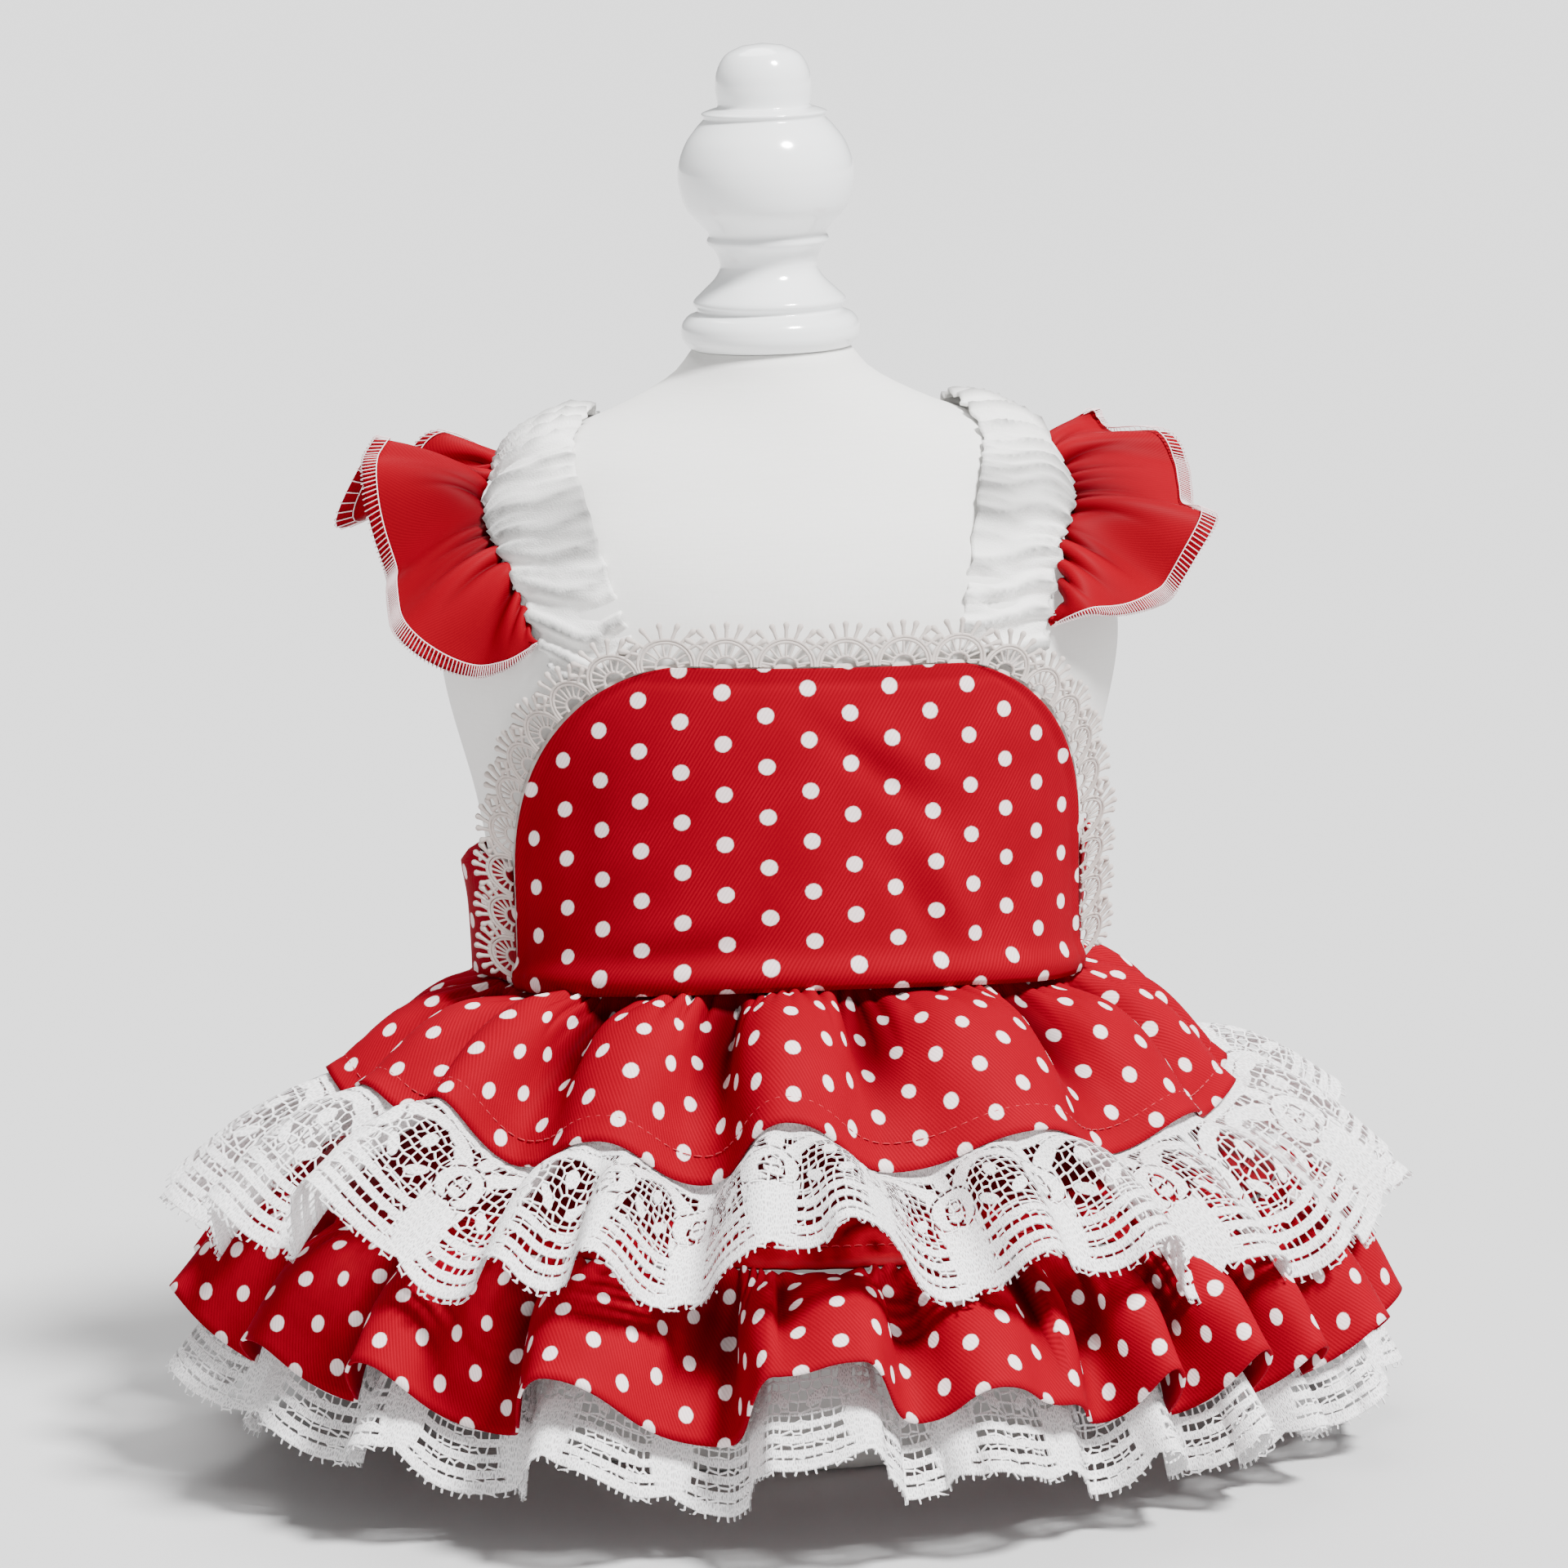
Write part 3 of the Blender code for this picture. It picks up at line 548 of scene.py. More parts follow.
def strap_cotton():
    """Gathered white cotton lawn with small embroidered eyelets, matt and slightly see-through."""
    material, tree = new_material("white_eyelet_cotton", 0.85, sheen=0.3, specular=0.2)
    marks = flat_place(tree)[0]
    eyelets = add(tree, "TexVoronoi", marks, 0.16, feature="SMOOTH_F1")
    rings = add(tree, "MapRange", eyelets, 0.16, 0.3, 1.0, 0.0)
    weave = add(tree, "TexNoise", marks, 2.2, 4.0)
    tone = add(tree, "Math", rings, 0.3, weave, operation="MULTIPLY_ADD")
    white = add(tree, "Mix", tone, linear("F9F8F6"), linear("EAE8E5"), data_type="RGBA")
    # painted shade: the white lawn is greyed in the grooves of its gathers
    return finished(material, painted_groove_shade(tree, white, 1.7, 0.25, 1.0), tone, 0.6, 0.35)


def ellipse(tree, marks, across, up, half_across, half_up, turned):
    """How far a place is out of an ellipse's middle, 1 on its edge; all in millimetres."""
    local = add(
        tree, "Mapping", marks, (across, up, 0.0), (0.0, 0.0, math.radians(turned)),
        (half_across, half_up, 1.0), vector_type="TEXTURE",
    )
    return add(tree, "VectorMath", local, operation="LENGTH")


def lace(name, slope):
    """Knitted net lace: dense flowers, leaves and arcs of clothwork on an irregular open net,
    with a solid scalloped hem and a fringe of fine loops."""
    material, tree = new_material(name, 0.8, sheen=0.15, specular=0.2)
    marks, x, y = flat_place(tree)
    side = add(tree, "Math", in_repeat(tree, x, LACE_REPEAT), operation="ABSOLUTE")
    # cusp runs from 0 in the middle of a scallop to 1 at its two cusps
    cusp = add(tree, "Math", side, 2.0, operation="MULTIPLY")
    squared = add(tree, "Math", cusp, cusp, operation="MULTIPLY")
    hem = add(tree, "Math", squared, -LACE_SCALLOP, slope + LACE_SCALLOP, operation="MULTIPLY_ADD")
    # up is the distance above the scalloped hem, negative in the fringe
    up = add(tree, "Math", hem, y, operation="SUBTRACT")
    half = add(tree, "Math", side, LACE_REPEAT, operation="MULTIPLY")
    spot = add(tree, "CombineXYZ", half, up)
    # solid is over 0 on clothwork and under 0 on net
    border = add(tree, "Math", LACE_BORDER, up, operation="SUBTRACT")
    phase = add(tree, "Math", up, TURN / LACE_BAND_STEP, -1.3, operation="MULTIPLY_ADD")
    wave = add(tree, "Math", phase, operation="COSINE")
    bands = add(tree, "Math", wave, 0.9, 0.05, operation="MULTIPLY_ADD")
    below_fan = add(tree, "Math", LACE_FAN, up, operation="SUBTRACT")
    bands = add(tree, "Math", bands, below_fan, operation="MINIMUM")
    solid = add(tree, "Math", border, bands, operation="MAXIMUM")
    for motif in LACE_MOTIFS:
        inside = add(tree, "Math", ellipse(tree, spot, *motif), -2.2, 2.2, operation="MULTIPLY_ADD")
        solid = add(tree, "Math", solid, inside, operation="MAXIMUM")
    top = add(tree, "Math", LACE_HEADING, y, operation="SUBTRACT")
    solid = add(tree, "Math", solid, top, operation="MAXIMUM")
    # broken rings of holes draw the rose's petals
    for petal in LACE_PETALS:
        beyond = add(tree, "Math", ellipse(tree, spot, *petal), 1.0, operation="SUBTRACT")
        away = add(tree, "Math", beyond, petal[2], operation="MULTIPLY")
        distance = add(tree, "Math", away, operation="ABSOLUTE")
        ring = add(tree, "Math", distance, 0.42, operation="SUBTRACT")
        solid = add(tree, "Math", solid, ring, operation="MINIMUM")
    # past the hem nothing is solid
    solid = add(tree, "Math", solid, up, operation="MINIMUM")
    dense = add(tree, "MapRange", solid, -0.12, 0.12, 0.0, 1.0)

    # the net's holes are 1.4 to 2 mm across; their threads thicken where they meet
    stretched = add(tree, "Mapping", marks, None, None, (1.0, 0.84, 1.0))
    cells = add(
        tree, "TexVoronoi", stretched, 0.46, None, None, None, 0.5, feature="DISTANCE_TO_EDGE",
        voronoi_dimensions="2D",
    )
    net = add(tree, "MapRange", cells, 0.055, 0.1, 1.0, 0.0)
    # clothwork is rows of fine upright threads with small slits between them
    slits = add(tree, "Mapping", marks, None, None, (2.4, 0.75, 1.0))
    slit_cells = add(tree, "TexVoronoi", slits, 1.0, feature="DISTANCE_TO_EDGE", voronoi_dimensions="2D")
    woven = add(tree, "MapRange", slit_cells, 0.03, 0.4, 1.0, 0.42)
    body = add(tree, "Math", dense, woven, operation="MULTIPLY")
    filled = add(tree, "Math", net, body, operation="MAXIMUM")
    # past the hem only a fringe of fine loops is left
    ragged = add(tree, "TexNoise", marks, 0.7, 1.0)
    fringe_edge = add(tree, "Math", ragged, 1.4, -1.7, operation="MULTIPLY_ADD")
    kept = add(tree, "Math", up, fringe_edge, operation="GREATER_THAN")
    alpha = add(tree, "Math", filled, kept, operation="MULTIPLY")
    tree.links.new(alpha, tree.nodes["Principled BSDF"].inputs["Alpha"])
    colour = add(tree, "Mix", woven, linear("DAD6D9"), linear("F8F7F7"), data_type="RGBA")
    height = add(tree, "Math", dense, 0.8, woven, operation="MULTIPLY_ADD")
    return finished(material, colour, height, 0.5, 0.25)


def thread_material(name, hex_colour, second_hex, roughness=0.7):
    """Twisted thread: matt, with a slight change of tone along it."""
    material, tree = new_material(name, roughness, sheen=0.2, specular=0.3)
    tone = add(tree, "TexNoise", add(tree, "TexCoord", out=3), 900.0, 2.0)
    colour = add(tree, "Mix", tone, linear(hex_colour), linear(second_hex), data_type="RGBA")
    return finished(material, colour, tone, 0.5, 0.1)


def form_linen():
    """Fine off-white cloth drawn tight over the form: matt, with a barely visible plain weave."""
    material, tree = new_material("form_cover_cloth", 0.9, sheen=0.2, specular=0.2)
    place = add(tree, "TexCoord", out=3)
    tone = add(tree, "TexNoise", place, 14.0, 3.0)
    base = add(tree, "Mix", tone, linear("ECEBE9"), linear("E3E2DF"), data_type="RGBA")
    heights = []
    for stretch in ((1.0, 1.0, 0.06), (0.06, 0.06, 1.0)):
        drawn_out = add(tree, "Mapping", place, None, None, stretch)
        heights.append(add(tree, "TexNoise", drawn_out, 2200.0, 2.0))
    weave = add(tree, "Math", *heights, operation="ADD")
    fine = add(tree, "MapRange", weave, 0.7, 1.3, 0.0, 0.25)
    colour = add(tree, "Mix", fine, base, linear("D9D7D2"), data_type="RGBA")
    return finished(material, colour, weave, 0.3, 0.08)


def white_lacquer():
    """Turned wood under white gloss lacquer: a clear, sharp highlight on a very smooth skin."""
    material, tree = new_material("white_gloss_lacquer", 0.16, specular=0.5, coat=0.6)
    tone = add(tree, "TexNoise", add(tree, "TexCoord", out=3), 30.0, 3.0)
    colour = add(tree, "Mix", tone, linear("F3F4F4"), linear("ECEEEF"), data_type="RGBA")
    return finished(material, colour, tone, 0.08, 0.3)


# The dress form's surfaces

def form_half_width(z):
    return between(FORM_OVALS, z, 1)


def form_half_depth(z):
    return between(FORM_OVALS, z, 2)


def on_form(angle, z, away):
    """A point at an angle round the form from the front, moved out from its skin."""
    a = form_half_width(z) + away
    b = form_half_depth(z) + away
    return Vector((a * math.sin(angle), -b * math.cos(angle), z))


OVAL_ANGLES = np.linspace(-math.pi, math.pi, 361)
OVAL_STEPS = np.hypot(MIDDLE_OVAL[1] * np.cos(OVAL_ANGLES), MIDDLE_OVAL[2] * np.sin(OVAL_ANGLES))
OVAL_LENGTHS = np.cumsum(OVAL_STEPS * (OVAL_ANGLES[1] - OVAL_ANGLES[0]))
OVAL_LENGTHS -= OVAL_LENGTHS[180]


def oval_length(angle):
    """Length along the form's middle oval from the front to an angle, in millimetres."""
    return float(np.interp(angle, OVAL_ANGLES, OVAL_LENGTHS))


def turned_shape(name, material, outline, sides, bottom, top):
    """A lathe shape: an outline of radius and height spun once round the upright axis."""
    bm = bmesh.new()
    points = [(0.0, bottom)] + outline + [(0.0, top)]
    verts = [bm.verts.new((radius * MM, 0.0, z * MM)) for radius, z in points]
    edges = [bm.edges.new(pair) for pair in zip(verts, verts[1:])]
    bmesh.ops.spin(
        bm, geom=verts + edges, axis=(0, 0, 1), cent=(0, 0, 0), angle=TURN, steps=sides, use_merge=True,
    )
    bmesh.ops.remove_doubles(bm, verts=bm.verts, dist=0.005 * MM)
    bmesh.ops.recalc_face_normals(bm, faces=bm.faces)
    return finish_piece(bm, name, material)


def build_form(linen, lacquer):
    form_top = FORM_OVALS[-1][0]
    outline = [(1.0, 2.0 * n) for n in range(121)] + [(1.0, form_top)]
    body = turned_shape("form_cover", linen, outline, 96, 0.0, form_top)
    for vert in body.data.vertices:
        z = vert.co.z / MM
        vert.co.x *= form_half_width(z)
        vert.co.y *= form_half_depth(z)
    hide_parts("form_body")

    rows = [(float(n), *row) for n, row in enumerate(CAP_OUTLINE)]
    places = [n / CAP_STEPS for n in range((len(rows) - 1) * CAP_STEPS + 1)]
    smooth = [(between(rows, place, 1), between(rows, place, 2)) for place in places]
    cap = turned_shape("turned_cap", lacquer, smooth, 72, CAP_OUTLINE[0][1], CAP_TOP)
    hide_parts("form_cap")


# The bodice's surfaces

def waist_height(angle):
    """Height of the waist seam: it hangs lower at the sides than in front and behind."""
    return WAIST - WAIST_DROOP[-1 if math.sin(angle) < 0.0 else 1] * math.sin(angle) ** 2


def bodice_half(t, side):
    """Half width of the front panel at a share t of its height, with rounded upper corners."""
    top_half, straight = BODICE_CORNERS[side]
    if t <= straight:
        return BODICE_HALF_WIDTH
    q = (t - straight) / (1.0 - straight)
    corner = BODICE_HALF_WIDTH - top_half
    return top_half + corner * math.sqrt(max(0.0, 1.0 - q ** CORNER_POWER))


def bodice_top(x):
    """Height of the front panel's upper edge above a sideways place."""
    top_half, straight = BODICE_CORNERS[-1 if x < BODICE_CENTRE else 1]
    aside = abs(x - BODICE_CENTRE)
    if aside <= top_half:
        return WAIST + BODICE_HEIGHT
    s = min(1.0, (aside - top_half) / (BODICE_HALF_WIDTH - top_half))
    q = (1.0 - s * s) ** (1.0 / CORNER_POWER)
    return WAIST + BODICE_HEIGHT * mix(straight, 1.0, q)


def edge_angle(t, side):
    """Angle round the form of the front panel's left or right edge."""
    z = WAIST + BODICE_HEIGHT * t
    x = BODICE_CENTRE + side * bodice_half(t, side)
    return math.asin(clamp(x / (form_half_width(z) + FORM_GAP), -0.999, 0.999))


def leaned(angle, t):
    """How far the panel's cloth sits lower on its right and higher on its left."""
    return BODICE_LEAN * math.sin(angle) * t


def front_place(u, v):
    t = math.sin((1.0 - v) * math.pi / 2.0)
    angle = mix(edge_angle(t, -1), edge_angle(t, 1), u)
    return angle, mix(waist_height(angle) - 0.6, WAIST + BODICE_HEIGHT, t) - leaned(angle, t), t


def front_point(u, v):
    angle, z, t = front_place(u, v)
    # the lower edge is a soft roll that hangs just over the gathers
    roll = PANEL_ROLL * bump(z - waist_height(angle) - 2.5, 3.2)
    slack = PANEL_SLACK * (1.0 - t) ** 2 * 4.0 * u * (1.0 - u)
    return on_form(angle, z, PANEL_AWAY + roll + slack)


def crease_at(x, y):
    """Sum of soft troughs and ridges, each a short line with faded ends."""
    total = 0.0
    for across, up, half_length, direction, half_width, height in BODICE_CREASES:
        turn = math.radians(direction)
        dx, dy = x - across, y - up
        along = (dx * math.cos(turn) + dy * math.sin(turn)) / half_length
        aside = (dy * math.cos(turn) - dx * math.sin(turn)) / half_width
        if abs(along) < 1.8 and abs(aside) < 2.6:
            total += height * math.exp(-aside * aside - along * along)
    return total


def front_relief(u, v):
    angle, z, t = front_place(u, v)
    # the turned edge stands a little proud and the seam under it pulls in
    edge = min(u, 1.0 - u) * (bodice_half(t, -1) + bodice_half(t, 1))
    rim = min(edge, (1.0 - t) * BODICE_HEIGHT)
    puff = 0.7 * (1.0 - bump(rim, 12.0))
    hem = 0.25 * bump(rim, 1.2) - 0.2 * bump(rim - 3.2, 1.2)
    return puff + hem + crease_at(oval_length(angle), z - WAIST)


def band_place(u, v):
    start = edge_angle(0.0, 1) - 0.02
    end = edge_angle(0.0, -1) + TURN + 0.02
    angle = mix(start, end, u)
    return angle, mix(WAIST + SEAM_GAP + BAND_HEIGHT, waist_height(angle) + SEAM_GAP, v)


def band_point(u, v):
    angle, z = band_place(u, v)
    share = clamp((u - BAND_BULGE_FROM) / (BAND_BULGE_TO - BAND_BULGE_FROM))
    bulge = BAND_BULGE * math.sin(math.pi * share)
    # the slack cloth rolls over at the top and stands off down to the gathers
    profile = 0.85 + 0.15 * bump(v - 0.13, 0.2) - 0.9 * bump(v, 0.07) + 0.4 * v
    return on_form(angle, z, BAND_AWAY + bulge * profile)


def trim_place(u):
    """Place along the form's skin and height of a point on the front panel's edge.
    u runs from the lower left corner over the top to the lower right one."""
    side = -1 if u < 0.5 else 1
    up = 1.0 - abs(u - 0.5) * 2.0
    if up < TRIM_SIDE_SHARE:
        t = math.sin(up / TRIM_SIDE_SHARE * math.pi / 2.0)
        angle = edge_angle(t, side)
        height = mix(waist_height(angle) + TRIM_INSIDE, WAIST + BODICE_HEIGHT, t)
        return TRIM_RADIUS * angle, height - leaned(angle, t)
    share = (1.0 - up) / (1.0 - TRIM_SIDE_SHARE)
    angle = mix(TRIM_TOP_MIDDLE, edge_angle(1.0, side), share)
    return TRIM_RADIUS * angle, WAIST + BODICE_HEIGHT - leaned(angle, 1.0)


TRIM_EDGE = np.array([trim_place(n / TRIM_SAMPLES) for n in range(TRIM_SAMPLES + 1)])
TRIM_LENGTHS = np.concatenate([[0.0], np.cumsum(np.hypot(*np.diff(TRIM_EDGE, axis=0).T))])
TRIM_LENGTH = float(TRIM_LENGTHS[-1])


def trim_spot(along, out, lift=0.0):
    """A point on the trim: millimetres along the panel's edge, out from it and above its cloth."""
    def edge_at(length):
        length = clamp(length, 0.0, TRIM_LENGTH)
        return Vector([np.interp(length, TRIM_LENGTHS, column) for column in TRIM_EDGE.T])

    here = edge_at(along)
    way = (edge_at(along + 3.0) - edge_at(along - 3.0)).normalized()
    angle = (here.x - way.y * out) / TRIM_RADIUS
    lying = on_form(angle, here.y + way.x * out, TRIM_AWAY + lift)
    if out <= 0.0:
        return lying
    # at the sides the stiff lace stands out straight instead of following the form
    start = on_form(here.x / TRIM_RADIUS, here.y, TRIM_AWAY + lift)
    ahead = on_form(here.x / TRIM_RADIUS + 0.01, here.y, TRIM_AWAY + lift) - start
    around = ahead.normalized() * -way.y
    straight = Vector((around.x, around.y * TRIM_STAND, way.x)).normalized()
    return lying.lerp(start + straight * out, abs(way.y))


def build_trim(material):
    """Corded lace: a tape under the panel's edge, then scallops of an arc, its spokes and round loops."""
    pitch = TRIM_LENGTH / TRIM_SCALLOPS

    def scallop_spot(n, share, squash, turn, lift, beyond=0.0):
        radius = pitch * 0.5 * share
        return trim_spot(
            (n + 0.5) * pitch - (radius + beyond) * math.cos(turn),
            TRIM_ROOT + (radius * squash + beyond) * math.sin(turn), lift,
        )

    cords, loops, spokes = [], [], []
    for n in range(TRIM_SCALLOPS):
        for share, squash, lift in TRIM_ARCS:
            cords.append([scallop_spot(n, share, squash, math.pi * step / 14.0, lift) for step in range(15)])
        for step in range(TRIM_SPOKES):
            turn = math.pi * (step + 0.5) / TRIM_SPOKES
            spokes.append([scallop_spot(n, share, TRIM_ARC, turn, 0.35) for share in (0.38, 0.64, 0.9)])
        for step in range(TRIM_FINGERS):
            turn = mix(0.21, 0.79, step / (TRIM_FINGERS - 1.0)) * math.pi
            loops.append([
                (*scallop_spot(n, 0.97, TRIM_ARC, turn, 0.5, TRIM_FINGER * share), size)
                for share, size in TRIM_LOOP
            ])
    cord = threads("trim_cords", material, cords, CORD_RADIUS)
    spoke = threads("trim_spokes", material, spokes, SPOKE_RADIUS, 1)
    loop = threads("trim_loops", material, loops, LOOP_RADIUS)

    def tape_point(u, v):
        return trim_spot(u * TRIM_LENGTH, mix(-TRIM_INSIDE - 2.2, 0.8, v), -0.4)

    tape = cloth(
        "trim_tape", material, 240, 3, tape_point, lambda u, v: (u * TRIM_LENGTH, v * TRIM_TAPE), LACE_WALL,
        inside_out=True,
    )
    for piece in (cord, spoke, loop, tape):
        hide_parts("bodice_trim")


# The straps and frills

def crest_above(x):
    """Height at which the form's shoulder is as wide as a sideways place."""
    low, high = SHOULDER_LOW, SHOULDER_HIGH
    while high - low > 0.01:
        middle = (low + high) / 2.0
        low, high = (middle, high) if form_half_width(middle) > x else (low, middle)
    return low


def strap_point(u, v, side, away=FORM_GAP + CLOTH_WALL):
    """u runs from the bodice over the shoulder to the band behind, v from the inner to the outer edge."""
    aside = STRAP_ASIDE * max(0.0, 1.0 - u / STRAP_ASIDE_TO) ** 2
    x = mix(between(STRAP_EDGES, u, 1), between(STRAP_EDGES, u, 2), v) + side * aside
    front_foot = max(STRAP_LOWEST, bodice_top(side * x) + 1.4)
    foot = front_foot if u < 0.5 else WAIST + BAND_HEIGHT + SEAM_GAP * 2.0
    z = mix(foot, crest_above(x), math.sin(math.pi * min(u, 1.0 - u)))
    a, b = form_half_width(z), form_half_depth(z)
    across = x / a
    depth = b * math.sqrt(max(0.0, 1.0 - across * across))
    y = -depth if u < 0.5 else depth
    slope = (form_half_width(z + 0.5) - form_half_width(z - 0.5)) * across
    square_to_skin = Vector((x / (a * a), y / (b * b), -slope / a)).normalized()
    over = clamp((u - STRAP_RISE_FROM) / (1.0 - 2.0 * STRAP_RISE_FROM))
    crown = 1.0 - (1.0 - STRAP_EDGE_SHARE) * abs(2.0 * v - 1.0) ** 3
    lift = away + STRAP_RISE * crown * math.sin(math.pi * over) ** 2
    point = Vector((x, y, z)) + square_to_skin * lift
    return Vector((side * point.x, point.y, point.z))


def frill_point(u, v, side):
    """u runs along the strap's outer edge, v from that seam to the frill's free edge."""
    along = mix(FRILL_FROM, FRILL_TO, u)
    seam = strap_point(along, 1.0, side)
    tangent = (strap_point(along + 0.01, 1.0, side) - seam).normalized()
    outward, backward, upward = (between(FRILL_EDGE[side], u, column) for column in (1, 2, 3))
    edge = Vector((side * outward, backward, upward))
    face = tangent.cross(edge).normalized() * -side
    ends = math.sin(math.pi * mix(0.02, 0.98, u)) ** 0.5
    turn = TURN * FRILL_LOBES * u + FRILL_WAVE_START[side]
    wave = FRILL_WAVE * (math.sin(turn) + FRILL_SECOND_WAVE * math.sin(2.0 * turn)) * v ** 0.8
    crown = FRILL_CROWN * math.sin(math.pi * v ** 0.7)
    seam.x += side * FRILL_GAP
    return seam + edge * v + face * (wave + crown) * ends


# The skirt's surfaces

def with_back_folds(folds, count, ridge, valley):
    """The front's folds, then similar uneven ones round the back, as rows that rise through a full turn."""
    rows = list(folds)
    start, end = rows[-1][0], rows[0][0] + 360.0
    starts_on_ridge = rows[-1][1] > rows[-2][1]
    step = (end - start) / (count + 1)
    for n in range(1, count + 1):
        uneven = 0.22 * math.sin(2.4 * n + 0.7) + 0.10 * math.sin(5.1 * n)
        is_ridge = (n % 2 == 1) == starts_on_ridge
        dip = (ridge if is_ridge else valley) + 4.0 * math.sin(3.7 * n + 1.0)
        rows.append((start + step * (n + uneven), dip))
    rows.append((end, rows[0][1]))
    return rows


TIER = with_back_folds(TIER_FOLDS, 13, 36.0, 47.0)
LACE_UPPER = with_back_folds(LACE_UPPER_FOLDS, 15, 26.0, 38.0)
RUFFLE = with_back_folds(RUFFLE_FOLDS, 17, 38.0, 62.0)
LACE_LOWER = [(angle, dip * LACE_LOWER_SHARE + LACE_LOWER_STEEPER) for angle, dip in RUFFLE]


def fold_at(rows, angle):
    """Dip at an angle in degrees, how far the hem there swings sideways to round the folds, and how
    near the place is to a ridge, from 0 in a valley to 1 on a ridge."""
    angle = rows[0][0] + (angle - rows[0][0]) % 360.0
    i = next(n for n in range(len(rows) - 1) if rows[n + 1][0] >= angle)
    width = rows[i + 1][0] - rows[i][0]
    t = (angle - rows[i][0]) / width
    ridge = ease(t) if rows[i + 1][1] < rows[i][1] else 1.0 - ease(t)
    return mix(rows[i][1], rows[i + 1][1], ease(t)), width * math.sin(TURN * t) / TURN, ridge


def hung(seam, angle, rows, slope, v, round_out, arch):
    """A point v down a piece that hangs from its seam on the dip of its folds."""
    dip, swing, ridge = fold_at(rows, math.degrees(angle))
    dip = math.radians(dip)
    turned = angle + math.radians(swing) * round_out * v
    lift = arch * slope * 4.0 * v * (1.0 - v)
    reach = slope * v * math.cos(dip) + lift * math.sin(dip)
    fall = slope * v * math.sin(dip) - lift * math.cos(dip)
    square = Vector((seam.x, seam.y)).normalized()
    radial = Vector((math.sin(turned), -math.cos(turned)))
    way = square.lerp(radial, min(1.0, v * 2.0)).normalized()
    return Vector((seam.x + way.x * reach, seam.y + way.y * reach, seam.z - fall))


def tier_share(angle):
    return 1.0 - TIER_SIDE_SHORTER * math.sin(angle) ** 2


def tier_at(angle, v):
    seam = on_form(angle, waist_height(angle) - SEAM_GAP / 2.0, FORM_GAP + CLOTH_WALL)
    arch = TIER_ARCH * (1.0 - TIER_SIDE_FLAT * math.sin(angle) ** 2)
    return hung(seam, angle, TIER, TIER_SLOPE * tier_share(angle), v, TIER_ROUND, arch)


def outward_of(surface, angle, v, step=0.01):
    """A point of a surface and the way out of its cloth."""
    here = surface(angle, v)
    aside = surface(angle + step, v) - here
    down = surface(angle, min(1.0, v + 0.02)) - surface(angle, v - 0.02)
    return here, -aside.cross(down).normalized()


def inside_tier(angle, back):
    """A point on the tier's inner side, a distance back up from its hem."""
    here, outward = outward_of(tier_at, angle, 1.0 - back / TIER_SLOPE, 0.012)
    return here - outward * (CLOTH_WALL + LACE_BEHIND)


def lace_upper_at(angle, v, slope=LACE_UPPER_SLOPE):
    """Its upper edge lies against the tier's inner side, and from the hem downward it hangs free."""
    if v <= LACE_TUCK:
        return inside_tier(angle, HEM_OVERLAP * (1.0 - v / LACE_TUCK))
    free = (v - LACE_TUCK) / (1.0 - LACE_TUCK)
    longer = slope * (1.0 + LACE_SIDE_LONGER * math.sin(angle) ** 2)
    return hung(inside_tier(angle, 0.0), angle, LACE_UPPER, longer, free, LACE_UPPER_ROUND, LACE_UPPER_ARCH)


def underskirt_at(angle, v):
    """It hangs down first and then spreads to its hem."""
    start = on_form(angle, UNDERSKIRT_TOP, FORM_GAP + CLOTH_WALL)
    spread = (1.0 - UNDERSKIRT_FLARE) * v + UNDERSKIRT_FLARE * v * v
    reach = UNDERSKIRT_REACH * spread * (1.0 - SIDE_EASE * math.sin(angle) ** 2)
    drop = (1.0 + UNDERSKIRT_STEEP) * v - UNDERSKIRT_STEEP * v * v
    fall = UNDERSKIRT_FALL * drop + RIGHT_DROP * math.sin(angle) * v
    way = Vector((start.x, start.y)).normalized()
    return Vector((start.x + way.x * reach, start.y + way.y * reach, start.z - fall))


def under_hem(angle):
    """A point just below the underskirt's hem."""
    here = underskirt_at(angle, 1.0)
    down = (here - underskirt_at(angle, 0.93)).normalized()
    return here + down * RUFFLE_GAP


def ruffle_at(angle, v, slope=RUFFLE_SLOPE):
    return hung(under_hem(angle), angle, RUFFLE, slope, v, RUFFLE_ROUND, RUFFLE_ARCH)


def lace_lower_at(angle, v, slope=LACE_LOWER_SLOPE):
    hem = under_hem(angle)
    way = Vector((hem.x, hem.y)).normalized() * UNDER_RUFFLE
    seam = Vector((hem.x - way.x, hem.y - way.y, hem.z - UNDER_RUFFLE))
    return hung(seam, angle, LACE_LOWER, slope, v, LACE_LOWER_ROUND, LACE_LOWER_ARCH)


def hem_table(surface):
    """Length along a piece's hem for angles from the back seam round to it again."""
    angles = np.linspace(-math.pi, math.pi, 1441)
    points = np.array([surface(angle, 1.0) for angle in angles])
    steps = np.linalg.norm(points[1:] - points[:-1], axis=1)
    return angles, np.concatenate([[0.0], np.cumsum(steps)])


def gathers(x, spacing, start):
    """Rounded ridges with narrow grooves between them, unevenly spaced about this many millimetres.
    It runs from -0.6 in a groove to 0.4 on a ridge."""
    wander = 1.4 * math.sin(x / (spacing * 1.9) + start) + 0.9 * math.sin(x / (spacing * 0.83) + start * 2.0)
    height = 0.65 + 0.35 * math.sin(x / (spacing * 1.3) + start * 3.0)
    return height * abs(math.sin(math.pi * x / spacing + wander)) ** 0.6 - 0.6


def pulled(x, v, spacing, start, height, reach, power=1.0):
    """Gathers of a height in millimetres at the seam, which fade out over a share of the piece."""
    return gathers(x, spacing, start) * height * clamp(1.0 - v / reach) ** power


